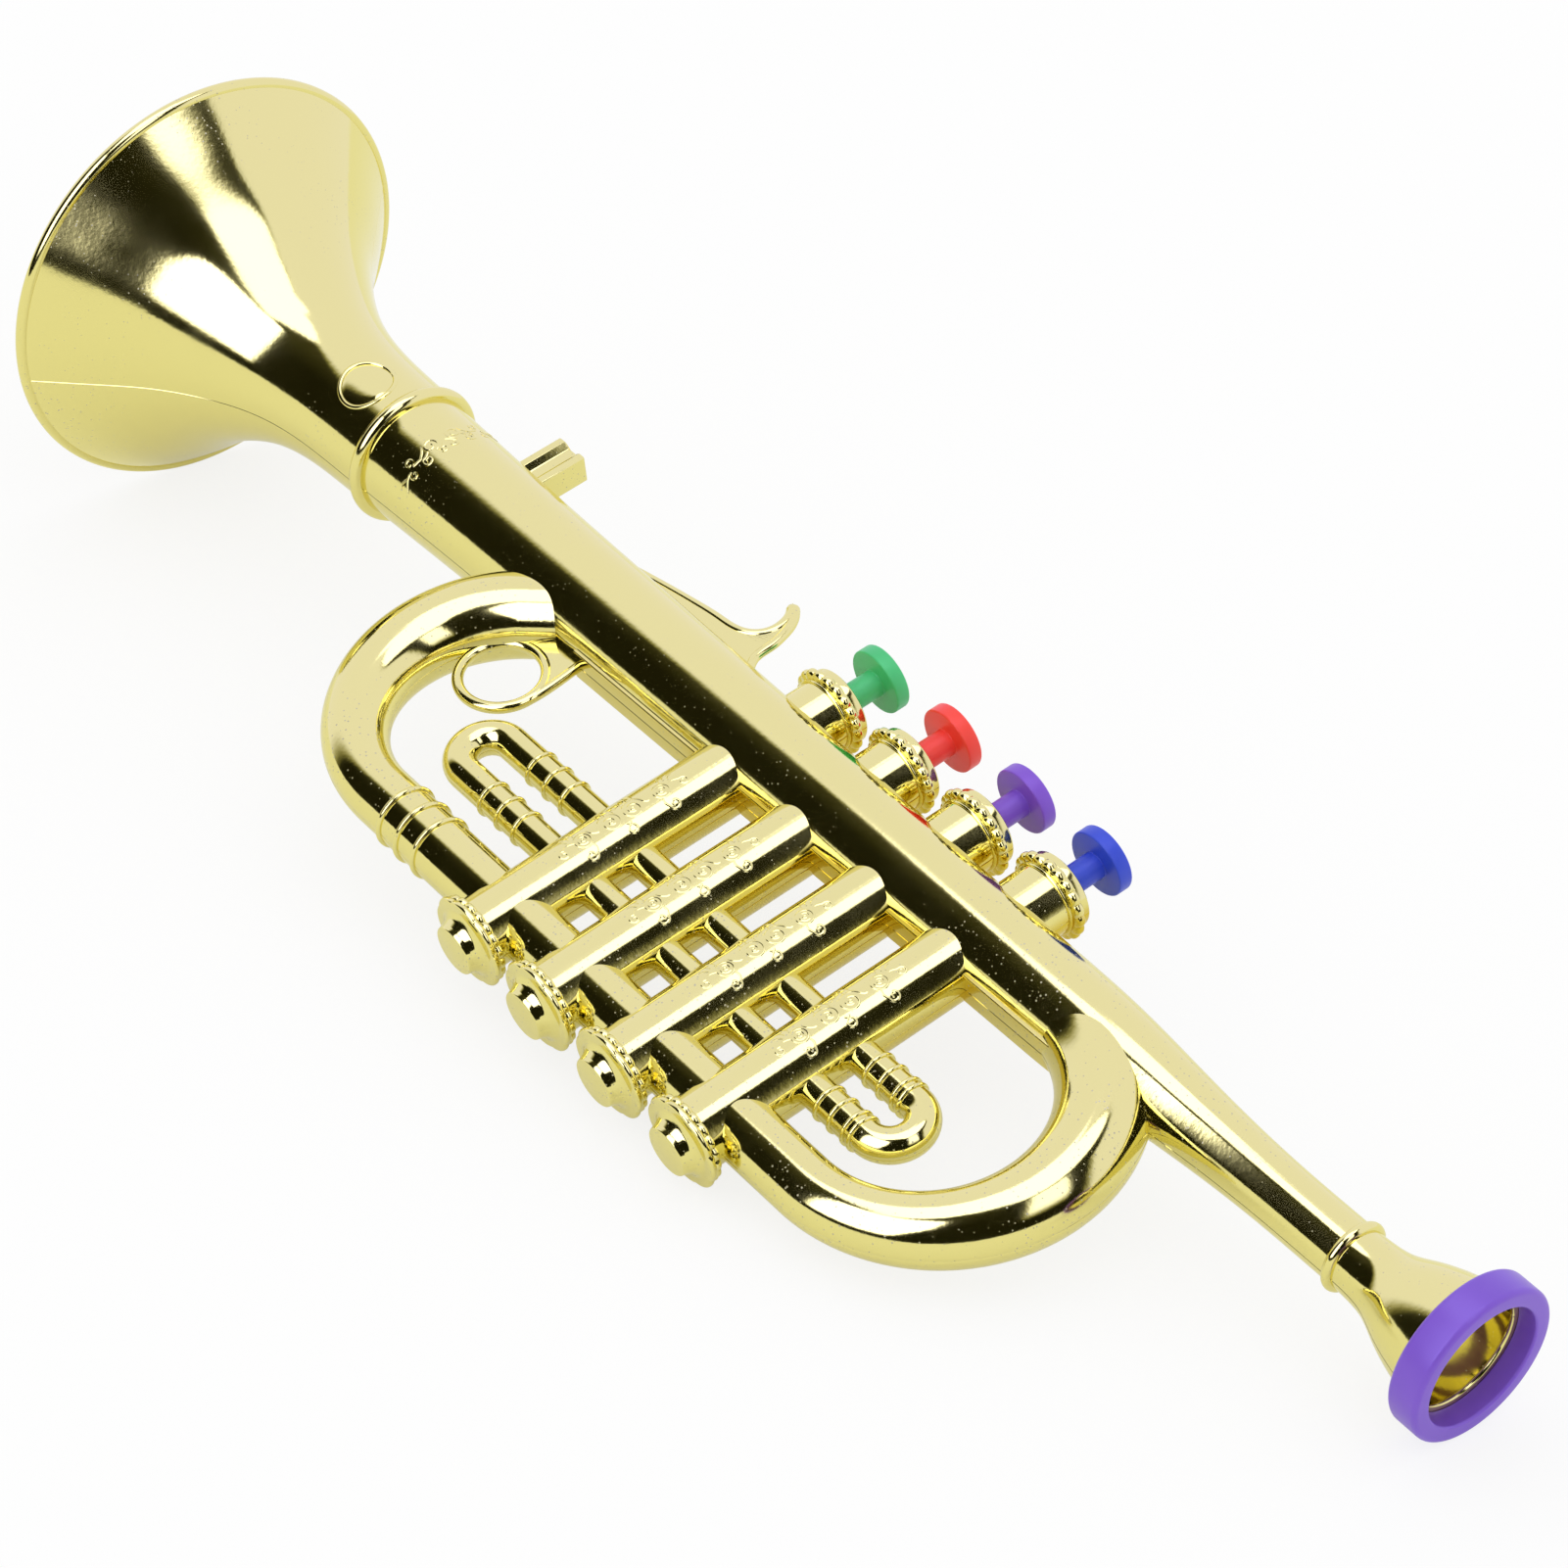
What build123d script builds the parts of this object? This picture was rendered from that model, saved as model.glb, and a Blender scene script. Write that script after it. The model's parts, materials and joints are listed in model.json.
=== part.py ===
import os
from math import cos, degrees, hypot, pi, radians, sin, sqrt

from build123d import *

# Toy trumpet with four sprung coloured keys, moulded as two gold half shells.
# Instrument frame: X runs along the main tube from the bell to the mouthpiece, Y points to
# the key heads, and Z is square to the seam between the half shells, which lies at Z = 0.
# At the end every piece is turned into the pose in which the trumpet lies on a table.

# Ends of the trumpet and its wall
bell_x = -1.8
mouth_x = 421.8
wall = 2.0
overrun = 1.0
press_gap = 0.05
slide_gap = 0.08
half_turn = 180.0

# Bell, from its rim plane to the collar
bell_rim_radius = 51.8
rim_bead = 1.5
bell_length = 82.3
neck_radius = 15.3
flare_length_shares = [0.049, 0.146, 0.267, 0.413, 0.559, 0.705, 0.85]
flare_height_shares = [0.882, 0.688, 0.452, 0.242, 0.099, 0.030, 0.008]
collar_bead = 1.75

# Main tube, which tapers from the collar to the rear loop
front_tube_radius = 14.9
middle_tube_radius = 13.7
middle_tube_x = 120.0
rear_tube_radius = 10.4
rear_tube_x = 316.0

# Lead pipe and mouthpiece
pipe_radius = 6.85
pipe_x = 372.0
pipe_length_shares = [0.25, 0.5, 0.75]
pipe_drop_shares = [0.32, 0.66, 0.90]
mouth_collar_x = 386.9
mouth_collar_bead = 1.2
cup_rim_radius = 14.3
cup_start_x = 389.0
cup_length_shares = [0.13, 0.27, 0.38, 0.48, 0.6, 0.76]
cup_height_shares = [0.03, 0.12, 0.28, 0.45, 0.62, 0.80]
bowl_rim_radius = 12.4
bowl_depth = 19.4
bowl_length_shares = [0.38, 0.7, 0.9]
bowl_height_shares = [0.9, 0.63, 0.3]
blow_hole_radius = 1.9
blow_wall = 4.0

# Lip ring on the mouthpiece
ring_radius = 17.7
ring_hole_radius = 13.7
ring_thickness = 7.6
ring_socket_depth = 2.8
ring_round = 1.2
ring_hole_round = 0.6

# Casings of the four valves
valve_count = 4
first_valve_x = 208.3
valve_pitch = 23.55
casing_radius = 8.0
casing_bottom_y = -73.8
bore_bottom_y = -71.8

# Caps on the casings: a lobed flange, with a boss below and a lip above
flange_radius = 10.3
flange_thickness = 2.6
lobe_count = 12
lobe_depth = 0.7
lobe_radius = 1.5
cap_neck_radius = 6.9
cap_neck_length = 1.2
cap_ring_radius = 8.7
cap_ring_thickness = 1.3
cap_cone_height = 1.4
boss_radius = 5.7
boss_height = 2.6
top_flange_y = 19.0
top_flange_radius = 10.1
top_lip_radius = 8.5
top_lip_height = 1.3

# Tubes between and beyond the casings
return_y = -66.35
return_radius = 6.95
link_radius = 3.8
upper_link_y = -37.2
lower_link_y = -49.7
front_slide_x = 170.0
rear_slide_x = 302.4
slide_bead = 0.8
front_slide_bead_x = 179.9
front_slide_bead_pitch = 5.75
front_slide_beads = 3
rear_slide_bead_x = 291.0
rear_slide_bead_pitch = 4.17
rear_slide_beads = 4
loop_bead = 0.9
loop_bead_x = 171.4
loop_bead_pitch = 6.0
loop_beads = 3

# Loops at both ends, whose tubes swell towards the main tube
front_bend_x = 163.4
front_bend = 31.9
front_loop_turn = 135.0
front_swell_turn = 130.0
front_loop_radius = 9.6
front_loop_tail = 17.0
rear_bend_x = 303.5
rear_bend = 33.175
rear_loop_turn = 180.0
rear_swell_turn = 150.0
rear_loop_radius = 10.0
loop_stations = 9

# Flat strip along the underside of the main tube
web_thickness = 8.0
web_drop = 0.2
web_start_x = 160.0
web_end_x = 312.0

# Finger ring and its plate
finger_x = 152.0
finger_y = -26.8
finger_radius = 9.6
finger_wire = 1.3
finger_hole_radius = 8.4
finger_plate = 1.8
plate_left_x = 137.5
plate_left_y = -24.3
plate_right_x = 161.6
plate_right_y = -22.6
plate_top_x = 160.3

# Finger hook
hook_plate = 1.8
hook_rim = 1.1
hook_start_x = 140.0
hook_bend_x = 177.2
hook_bend_y = 18.7
hook_throat_x = 180.2
hook_throat_y = 22.9
hook_heel_x = 186.3
hook_heel_y = 15.6
hook_end_x = 188.6
hook_arm = 1.45
hook_arm_base_x = 184.5
hook_arm_base_y = 17.6
hook_arm_middle_x = 183.2
hook_arm_middle_y = 26.0
hook_tip_x = 178.2
hook_tip_y = 32.8

# Stub beside the collar, with a groove along it
stub_x = 108.55
stub_width = 9.0
stub_depth = 7.0
stub_y = 25.6
groove_width = 5.4
groove_depth = 1.8
groove_floor = 3.4

# Keys: head, stem and what they carry inside
head_radius = 7.6
head_thickness = 2.6
head_round = 0.5
head_under_y = 30.4
stem_radius = 3.1
stop_gap = 0.6
rod_radius = 2.2
rod_end_y = -15.6
key_travel = 8.0

# Reed block inside the main tube
port_y = -6.0
port_plate = 1.5
port_radius = 4.0
block_half_width = 6.4
block_top_y = 2.0
block_roof = 1.5
block_end = 12.0
cell_half_length = 10.2
cell_half_width = 5.3
reed_side = 4.2
reed_width = 1.8
reed_length = 15.0
reed_thickness = 0.25
reed_land = 2.4
slot_margin = 0.15
rivet_radius = 0.6
rivet_head_radius = 1.0
rivet_head = 0.5
gasket_thickness = 0.6

# Pad, foot and spring of each key
pad_radius = 5.2
pad_thickness = 1.6
pad_gap = 0.1
foot_radius = 4.9
foot_disc = 1.4
foot_boss_radius = 3.1
spring_wire = 0.35
spring_radius = 4.1
spring_turns = 6
spring_floor_y = -40.0
spring_floor = 1.6
air_hole_radius = 2.6

# Sections in which each half shell is held: bell, front loop, valves, rear loop with the pipe, and cup
bell_end_x = 84.2
valve_section_margin = 10.7
slide_zone_radius = 11.5
section_reach = 120.0

# Walls and pins inside the half shells
rib_thickness = 1.6
loop_wall_x = 196.0
bore_top_y = 14.6
pin_radius = 1.1
pin_length = 2.4
pin_root = 1.2
collar_pin_radius = 0.7

# Search for the lying pose, in degrees
pitch_limit = 15.0
roll_limit = 45.0
halvings = 60

valve_xs = [first_valve_x + valve_pitch * k for k in range(valve_count)]
last_valve_x = valve_xs[valve_count - 1]
key_names = ["green", "red", "purple", "blue"]
rim_x = bell_x + rim_bead
ring_back_x = mouth_x - ring_thickness
cup_rim_x = ring_back_x + ring_socket_depth
casing_top_y = top_flange_y - flange_thickness
boss_y = casing_bottom_y - cap_neck_length - flange_thickness - cap_cone_height - boss_height
flange_y = casing_bottom_y - cap_neck_length - flange_thickness
shoulder_y = block_top_y + key_travel + stop_gap


def tube_radius(x):
    # Outer radius of the main tube at a place along it.
    if x < middle_tube_x:
        span = (x - bell_length) / (middle_tube_x - bell_length)
        return front_tube_radius + (middle_tube_radius - front_tube_radius) * span
    span = (x - middle_tube_x) / (rear_tube_x - middle_tube_x)
    return middle_tube_radius + (rear_tube_radius - middle_tube_radius) * span


def inward(points, depth):
    # The points of an outline moved square to it by a depth, towards the tube's axis.
    moved = []
    for k, (x, r) in enumerate(points):
        before = points[max(k - 1, 0)]
        after = points[min(k + 1, len(points) - 1)]
        run, rise = after[0] - before[0], after[1] - before[1]
        size = hypot(run, rise)
        moved.append((x + rise / size * depth, r - run / size * depth))
    return moved


flare = [(bell_length * along, neck_radius + (bell_rim_radius - neck_radius) * up)
         for along, up in zip(flare_length_shares, flare_height_shares)]
flare.append((bell_length, neck_radius))
pipe = [(rear_tube_x + (pipe_x - rear_tube_x) * along,
         rear_tube_radius - (rear_tube_radius - pipe_radius) * drop)
        for along, drop in zip(pipe_length_shares, pipe_drop_shares)]
pipe = [(rear_tube_x, rear_tube_radius)] + pipe + [(pipe_x, pipe_radius)]
cup_length = cup_rim_x - cup_start_x
cup = [(cup_start_x + cup_length * along, pipe_radius + (cup_rim_radius - pipe_radius) * up)
       for along, up in zip(cup_length_shares, cup_height_shares)]
cup = [(cup_start_x, pipe_radius)] + cup + [(cup_rim_x, cup_rim_radius)]
bowl_x = cup_rim_x - bowl_depth
bowl = [(cup_rim_x - bowl_depth * along, blow_hole_radius + (bowl_rim_radius - blow_hole_radius) * up)
        for along, up in zip(bowl_length_shares, bowl_height_shares)]
bowl = [(cup_rim_x, bowl_rim_radius)] + bowl + [(bowl_x, blow_hole_radius)]


def loop_planes(centre_x, bend, turn, side):
    # Planes across a loop's tube, from the return tube round to the main tube.
    planes = []
    for k in range(loop_stations):
        angle = radians(turn) * k / (loop_stations - 1)
        origin = (centre_x + side * bend * sin(angle), return_y + bend - bend * cos(angle), 0)
        planes.append(Plane(origin, x_dir=(0, 0, 1), z_dir=(side * cos(angle), sin(angle), 0)))
    return planes


def loop_radii(small, large, swell_turn, turn):
    # Radii of a loop's tube, which swells smoothly over the first part of its turn.
    radii = []
    for k in range(loop_stations):
        part = min(turn * k / (loop_stations - 1) / swell_turn, 1)
        radii.append(small + (large - small) * (1 - cos(pi * part)) / 2)
    return radii


front_planes = loop_planes(front_bend_x, front_bend, front_loop_turn, -1)
rear_planes = loop_planes(rear_bend_x, rear_bend, rear_loop_turn, 1)
front_radii = loop_radii(return_radius, front_loop_radius, front_swell_turn, front_loop_turn)
rear_radii = loop_radii(return_radius, rear_loop_radius, rear_swell_turn, rear_loop_turn)


def add_loop(planes, radii, inset):
    # One loop as a loft through circles, added to the part being built.
    sections = []
    for plane, radius in zip(planes, radii):
        with BuildSketch(plane) as section:
            Circle(radius - inset)
        sections.append(section.sketch)
    loft(sections)


def add_rod(start, finish, radius):
    # A round rod between two points of the instrument frame.
    line = Vector(*finish) - Vector(*start)
    with BuildSketch(Plane(start, z_dir=line)) as section:
        Circle(radius)
    extrude(section.sketch, amount=line.length)


def add_ring(centre, direction, major, minor):
    # A round bead about a tube.
    with Locations(Plane(centre, z_dir=direction)):
        Torus(major, minor)


def add_slide(bend_x, casing_x, side):
    # Two legs from a casing and the round bend that joins them.
    for y in (upper_link_y, lower_link_y):
        add_rod((bend_x, y, 0), (casing_x, y, 0), link_radius)
    middle_y = (upper_link_y + lower_link_y) / 2
    with BuildSketch(Plane((bend_x, upper_link_y, 0), x_dir=(0, 1, 0), z_dir=(1, 0, 0))) as section:
        Circle(link_radius)
    turn_axis = Axis((bend_x, middle_y, 0), (0, 0, side))
    revolve(section.sketch, axis=turn_axis, revolution_arc=half_turn)


# Outer shape of the whole gold body
with BuildPart() as body:
    with BuildSketch(Plane.XY):
        with BuildLine():
            rim_r = bell_rim_radius - rim_bead
            Polyline((rim_x, 0), (rim_x, rim_r))
            Spline((rim_x, rim_r), *flare)
            Polyline((bell_length, neck_radius), (bell_length, front_tube_radius),
                     (middle_tube_x, middle_tube_radius), (rear_tube_x, rear_tube_radius))
            Spline(*pipe)
            Polyline((pipe_x, pipe_radius), (cup_start_x, pipe_radius))
            Spline(*cup)
            Polyline((cup_rim_x, cup_rim_radius), (cup_rim_x, 0), (rim_x, 0))
        make_face()
    revolve(axis=Axis.X)
    add_ring((rim_x, 0, 0), (1, 0, 0), rim_r, rim_bead)
    add_ring((bell_length, 0, 0), (1, 0, 0), neck_radius, collar_bead)
    add_ring((mouth_collar_x, 0, 0), (1, 0, 0), pipe_radius, mouth_collar_bead)
    # Casings and their caps
    for x in valve_xs:
        with BuildSketch(Plane.XY):
            with BuildLine():
                top_y = top_flange_y + top_lip_height
                ring_y = casing_bottom_y + cap_ring_thickness
                neck_y = casing_bottom_y - cap_neck_length
                Polyline((x, top_y), (x + top_lip_radius, top_y), (x + top_lip_radius, casing_top_y),
                         (x + casing_radius, casing_top_y), (x + casing_radius, ring_y),
                         (x + cap_ring_radius, ring_y), (x + cap_ring_radius, casing_bottom_y),
                         (x + cap_neck_radius, casing_bottom_y), (x + cap_neck_radius, neck_y),
                         (x + top_lip_radius, neck_y), (x + top_lip_radius, flange_y),
                         (x + boss_radius, flange_y - cap_cone_height), (x + boss_radius, boss_y),
                         (x, boss_y), (x, top_y))
            make_face()
        revolve(axis=Axis((x, 0, 0), (0, 1, 0)))
        for y, radius in ((casing_top_y, top_flange_radius), (flange_y, flange_radius)):
            lobe_centre = radius - lobe_radius
            with BuildSketch(Plane((x, y, 0), x_dir=(1, 0, 0), z_dir=(0, 1, 0))):
                Circle(radius - lobe_depth)
                with PolarLocations(lobe_centre, lobe_count):
                    Circle(lobe_radius)
            extrude(amount=flange_thickness)
    # Tubes that cross the casings
    add_rod((front_bend_x, return_y, 0), (rear_bend_x, return_y, 0), return_radius)
    for y in (upper_link_y, lower_link_y):
        add_rod((first_valve_x, y, 0), (last_valve_x, y, 0), link_radius)
    add_slide(front_slide_x, first_valve_x, 1)
    add_slide(rear_slide_x, last_valve_x, -1)
    for y in (upper_link_y, lower_link_y):
        for k in range(front_slide_beads):
            bead_x = front_slide_bead_x + front_slide_bead_pitch * k
            add_ring((bead_x, y, 0), (1, 0, 0), link_radius, slide_bead)
        for k in range(rear_slide_beads):
            bead_x = rear_slide_bead_x + rear_slide_bead_pitch * k
            add_ring((bead_x, y, 0), (1, 0, 0), link_radius, slide_bead)
    for k in range(loop_beads):
        bead_x = loop_bead_x + loop_bead_pitch * k
        add_ring((bead_x, return_y, 0), (1, 0, 0), return_radius, loop_bead)
    # Loops
    add_loop(front_planes, front_radii, 0)
    front_end = front_planes[loop_stations - 1]
    tail_end = front_end.origin + front_end.z_dir * front_loop_tail
    add_rod(tuple(front_end.origin), tuple(tail_end), front_loop_radius)
    add_loop(rear_planes, rear_radii, 0)
    # Flat strip along the underside of the main tube, which seats it between the casings
    with BuildSketch(Plane.XY):
        with BuildLine():
            Polyline((web_start_x, -tube_radius(web_start_x) - web_drop),
                     (web_end_x, -tube_radius(web_end_x) - web_drop), (web_end_x, 0), (web_start_x, 0),
                     (web_start_x, -tube_radius(web_start_x) - web_drop))
        make_face()
    extrude(amount=web_thickness / 2, both=True)
    # Finger ring and its plate
    with BuildSketch(Plane.XY):
        with BuildLine():
            Polyline((plate_left_x, plate_left_y), (finger_x, finger_y), (plate_right_x, plate_right_y),
                     (plate_top_x, 0), (plate_left_x, 0), (plate_left_x, plate_left_y))
        make_face()
        with Locations((finger_x, finger_y)):
            Circle(finger_radius, mode=Mode.SUBTRACT)
    extrude(amount=finger_plate / 2, both=True)
    add_ring((finger_x, finger_y, 0), (0, 0, 1), finger_radius, finger_wire)
    with Locations((finger_x, finger_y)):
        Cylinder(finger_hole_radius, finger_wire * 2, mode=Mode.SUBTRACT)
    # Finger hook: a plate with a thick upper rim, and an arm that curls up from it
    hook_start_y = tube_radius(hook_start_x)
    with BuildSketch(Plane.XY):
        with BuildLine():
            Polyline((hook_start_x, 0), (hook_start_x, hook_start_y), (hook_bend_x, hook_bend_y),
                     (hook_throat_x, hook_throat_y), (hook_arm_middle_x, hook_arm_middle_y),
                     (hook_arm_base_x, hook_arm_base_y), (hook_heel_x, hook_heel_y),
                     (hook_end_x, tube_radius(hook_end_x)), (hook_end_x, 0), (hook_start_x, 0))
        make_face()
    extrude(amount=hook_plate / 2, both=True)
    add_rod((hook_start_x, hook_start_y, 0), (hook_bend_x, hook_bend_y, 0), hook_rim)
    with Locations((hook_bend_x, hook_bend_y)):
        Sphere(hook_rim)
    with BuildLine() as arm:
        ThreePointArc((hook_arm_base_x, hook_arm_base_y), (hook_arm_middle_x, hook_arm_middle_y),
                      (hook_tip_x, hook_tip_y))
    with BuildSketch(Plane(arm.line @ 0, z_dir=arm.line % 0)):
        Circle(hook_arm)
    sweep(path=arm.line)
    for end in (arm.line @ 0, arm.line @ 1):
        with Locations(end):
            Sphere(hook_arm)
    # Stub beside the collar, with the groove along its face
    with BuildSketch(Plane.XZ.offset(-stub_y)):
        with BuildLine():
            left = stub_x - stub_width / 2
            right = stub_x + stub_width / 2
            face = stub_depth / 2
            Polyline((left, -face), (right, -face), (right, face), (stub_x + groove_width / 2, face),
                     (stub_x + groove_floor / 2, face - groove_depth),
                     (stub_x - groove_floor / 2, face - groove_depth),
                     (stub_x - groove_width / 2, face), (left, face), (left, -face))
        make_face()
    extrude(amount=stub_y)

# Walls left standing inside: the ribs that hold the reed block and the ends of its chamber
block_start_x = first_valve_x - block_end
block_end_x = last_valve_x + block_end
block_middle_x = (block_start_x + block_end_x) / 2
rib_xs = [x + valve_pitch / 2 for x in valve_xs[:valve_count - 1]]
end_wall_gap = slide_gap + rib_thickness / 2
with BuildPart() as ribs:
    rib_low_y = -middle_tube_radius
    with Locations(*[(x, (rib_low_y + block_top_y) / 2) for x in rib_xs]):
        Box(rib_thickness, block_top_y - rib_low_y, middle_tube_radius * 2)
    with Locations((block_middle_x, port_y + port_plate / 2)):
        Box(block_end_x - block_start_x + end_wall_gap * 2, port_plate, middle_tube_radius * 2)
    block_height = block_top_y - port_y
    with Locations((block_middle_x, block_top_y - block_height / 2)):
        Box(block_end_x - block_start_x + slide_gap * 2, block_height + slide_gap * 2,
            block_half_width * 2 + slide_gap * 2, mode=Mode.SUBTRACT)
    with Locations((block_start_x - end_wall_gap, (rib_low_y + block_top_y) / 2)):
        Box(rib_thickness, block_top_y - rib_low_y, middle_tube_radius * 2)
    with Locations((block_end_x + end_wall_gap, 0)):
        Box(rib_thickness, middle_tube_radius * 2, middle_tube_radius * 2)
    with Locations((loop_wall_x, return_y)):
        Box(rib_thickness, return_radius * 2, return_radius * 2)

# Hollow inside of the body
with BuildPart() as cavity:
    inner_flare = inward([(rim_x, rim_r)] + flare, wall)
    mouth_r = inner_flare[0][1]
    inner_pipe = inward(pipe, wall)
    with BuildSketch(Plane.XY):
        with BuildLine():
            first_x = inner_flare[0][0]
            last_x = bowl_x - blow_wall
            inner_neck = inner_flare[len(inner_flare) - 1]
            Polyline((bell_x - overrun, 0), (bell_x - overrun, mouth_r), (first_x, mouth_r))
            Spline(*inner_flare)
            Polyline(inner_neck, (bell_length, front_tube_radius - wall),
                     (middle_tube_x, middle_tube_radius - wall), inner_pipe[0])
            Spline(*inner_pipe)
            Polyline(inner_pipe[len(inner_pipe) - 1], (last_x, pipe_radius - wall), (last_x, 0),
                     (bell_x - overrun, 0))
        make_face()
    revolve(axis=Axis.X)
    with BuildSketch(Plane.XY):
        with BuildLine():
            Polyline((bowl_x - blow_wall - overrun, 0), (bowl_x - blow_wall - overrun, blow_hole_radius),
                     (bowl_x, blow_hole_radius))
            Spline(*reversed(bowl))
            Polyline((cup_rim_x, bowl_rim_radius), (cup_rim_x + overrun, bowl_rim_radius),
                     (cup_rim_x + overrun, 0), (bowl_x - blow_wall - overrun, 0))
        make_face()
    revolve(axis=Axis.X)
    for x in valve_xs:
        add_rod((x, bore_bottom_y, 0), (x, bore_top_y, 0), casing_radius - wall)
        add_rod((x, 0, 0), (x, top_flange_y + top_lip_height + overrun, 0), stem_radius + slide_gap)
    add_rod((front_bend_x, return_y, 0), (rear_bend_x, return_y, 0), return_radius - wall)
    add_loop(front_planes, front_radii, wall)
    add_rod(tuple(front_end.origin), tuple(tail_end), front_loop_radius - wall)
    add_loop(rear_planes, rear_radii, wall)
    add(ribs.part, mode=Mode.SUBTRACT)
    # Floors under the springs, with an air hole
    for x in valve_xs:
        with BuildSketch(Plane((x, spring_floor_y, 0), z_dir=(0, -1, 0))):
            Circle(casing_radius)
            Circle(air_hole_radius, mode=Mode.SUBTRACT)
        extrude(amount=spring_floor, mode=Mode.SUBTRACT)

# Locating pins of the front half and their sockets in the back half
slide_middle_y = (upper_link_y + lower_link_y) / 2
slide_bend = (upper_link_y - lower_link_y) / 2
pins = [(x, (casing_bottom_y + boss_y) / 2, pin_radius) for x in valve_xs]
pins += [(stub_x, (front_tube_radius + stub_y) / 2, pin_radius),
         (rib_xs[0], lower_link_y, pin_radius), (rib_xs[2], upper_link_y, pin_radius),
         (front_slide_x - slide_bend, slide_middle_y, pin_radius),
         (rear_slide_x + slide_bend, slide_middle_y, pin_radius)]
for side in (-1, 1):
    pins.append((bell_length, side * (neck_radius - collar_pin_radius / 2), collar_pin_radius))
    pins.append((mouth_collar_x, side * (pipe_radius - collar_pin_radius / 2), collar_pin_radius))

with BuildPart() as shell_front:
    add(body.part)
    add(cavity.part, mode=Mode.SUBTRACT)
    split(bisect_by=Plane.XY, keep=Keep.TOP)
    for x, y, radius in pins:
        add_rod((x, y, -pin_length), (x, y, pin_root), radius)
shell_front.part.label = "shell_front"

with BuildPart() as shell_back:
    add(body.part)
    add(cavity.part, mode=Mode.SUBTRACT)
    split(bisect_by=Plane.XY, keep=Keep.BOTTOM)
    for x, y, radius in pins:
        with Locations(Plane((x, y, -(pin_length + slide_gap) / 2))):
            Cylinder(radius + slide_gap, pin_length + slide_gap, mode=Mode.SUBTRACT)
shell_back.part.label = "shell_back"

# Sections of the half shells, which meet face to face. The slides stay with the valves.
valve_start_x = first_valve_x - valve_section_margin
valve_end_x = last_valve_x + valve_section_margin
with BuildPart() as slide_zone:
    with BuildSketch(Plane.XY.offset(-section_reach)):
        with Locations((front_slide_x, slide_middle_y), (rear_slide_x, slide_middle_y)):
            Circle(slide_zone_radius)
        with Locations(((front_slide_x + rear_slide_x) / 2, slide_middle_y)):
            Rectangle(rear_slide_x - front_slide_x, 2 * slide_zone_radius)
    extrude(amount=2 * section_reach)

with BuildPart() as valve_zone:
    with Locations(((valve_start_x + valve_end_x) / 2, 0, 0)):
        Box(valve_end_x - valve_start_x, 2 * section_reach, 2 * section_reach)
    add(slide_zone.part)

section_ends = {"bell": (bell_x - overrun, bell_end_x), "loop": (bell_end_x, valve_start_x),
                "pipe": (valve_end_x, cup_start_x), "cup": (cup_start_x, mouth_x + overrun)}
sections = []
for shell in (shell_front, shell_back):
    for section_name, (start_x, end_x) in section_ends.items():
        with BuildPart() as section:
            add(shell.part)
            with Locations(((start_x + end_x) / 2, 0, 0)):
                Box(end_x - start_x, 2 * section_reach, 2 * section_reach, mode=Mode.INTERSECT)
            add(slide_zone.part, mode=Mode.SUBTRACT)
        section.part.label = shell.part.label + "_" + section_name
        sections.append(section)
    with BuildPart() as section:
        add(shell.part)
        add(valve_zone.part, mode=Mode.INTERSECT)
    section.part.label = shell.part.label + "_valves"
    sections.append(section)

# Lip ring, which takes the cup's rim in a socket on its back
with BuildPart() as lip_ring:
    with BuildSketch(Plane.XY):
        with BuildLine():
            Polyline((ring_back_x, cup_rim_radius + press_gap), (ring_back_x, ring_radius),
                     (mouth_x, ring_radius), (mouth_x, ring_hole_radius),
                     (cup_rim_x + press_gap, ring_hole_radius),
                     (cup_rim_x + press_gap, cup_rim_radius + press_gap),
                     (ring_back_x, cup_rim_radius + press_gap))
        make_face()
        outer = vertices().filter_by_position(Axis.Y, ring_radius - press_gap, ring_radius + press_gap)
        fillet(outer, ring_round)
        inner = vertices().filter_by_position(Axis.Y, ring_hole_radius - press_gap,
                                              ring_hole_radius + press_gap)
        fillet(inner.sort_by(Axis.X)[-1], ring_hole_round)
    revolve(axis=Axis.X)
lip_ring.part.label = "lip_ring"

nodes = sections + [lip_ring]

# Reed block: port plate, gasket and a roof with one cell for each valve
with BuildPart() as port_deck:
    with Locations((block_middle_x, port_y + port_plate / 2)):
        Box(block_end_x - block_start_x, port_plate, block_half_width * 2)
    for x in valve_xs:
        with Locations(Plane((x, port_y, 0), z_dir=(0, 1, 0))):
            Cylinder(port_radius, port_plate * 2 + overrun, mode=Mode.SUBTRACT)
port_deck.part.label = "port_plate"

gasket_y = port_y + port_plate
with BuildPart() as gasket:
    with Locations((block_middle_x, gasket_y + gasket_thickness / 2)):
        Box(block_end_x - block_start_x, gasket_thickness, block_half_width * 2)
    with Locations(*[(x, gasket_y + gasket_thickness / 2) for x in valve_xs]):
        Box(cell_half_length * 2, gasket_thickness, cell_half_width * 2, mode=Mode.SUBTRACT)
gasket.part.label = "block_gasket"

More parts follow.
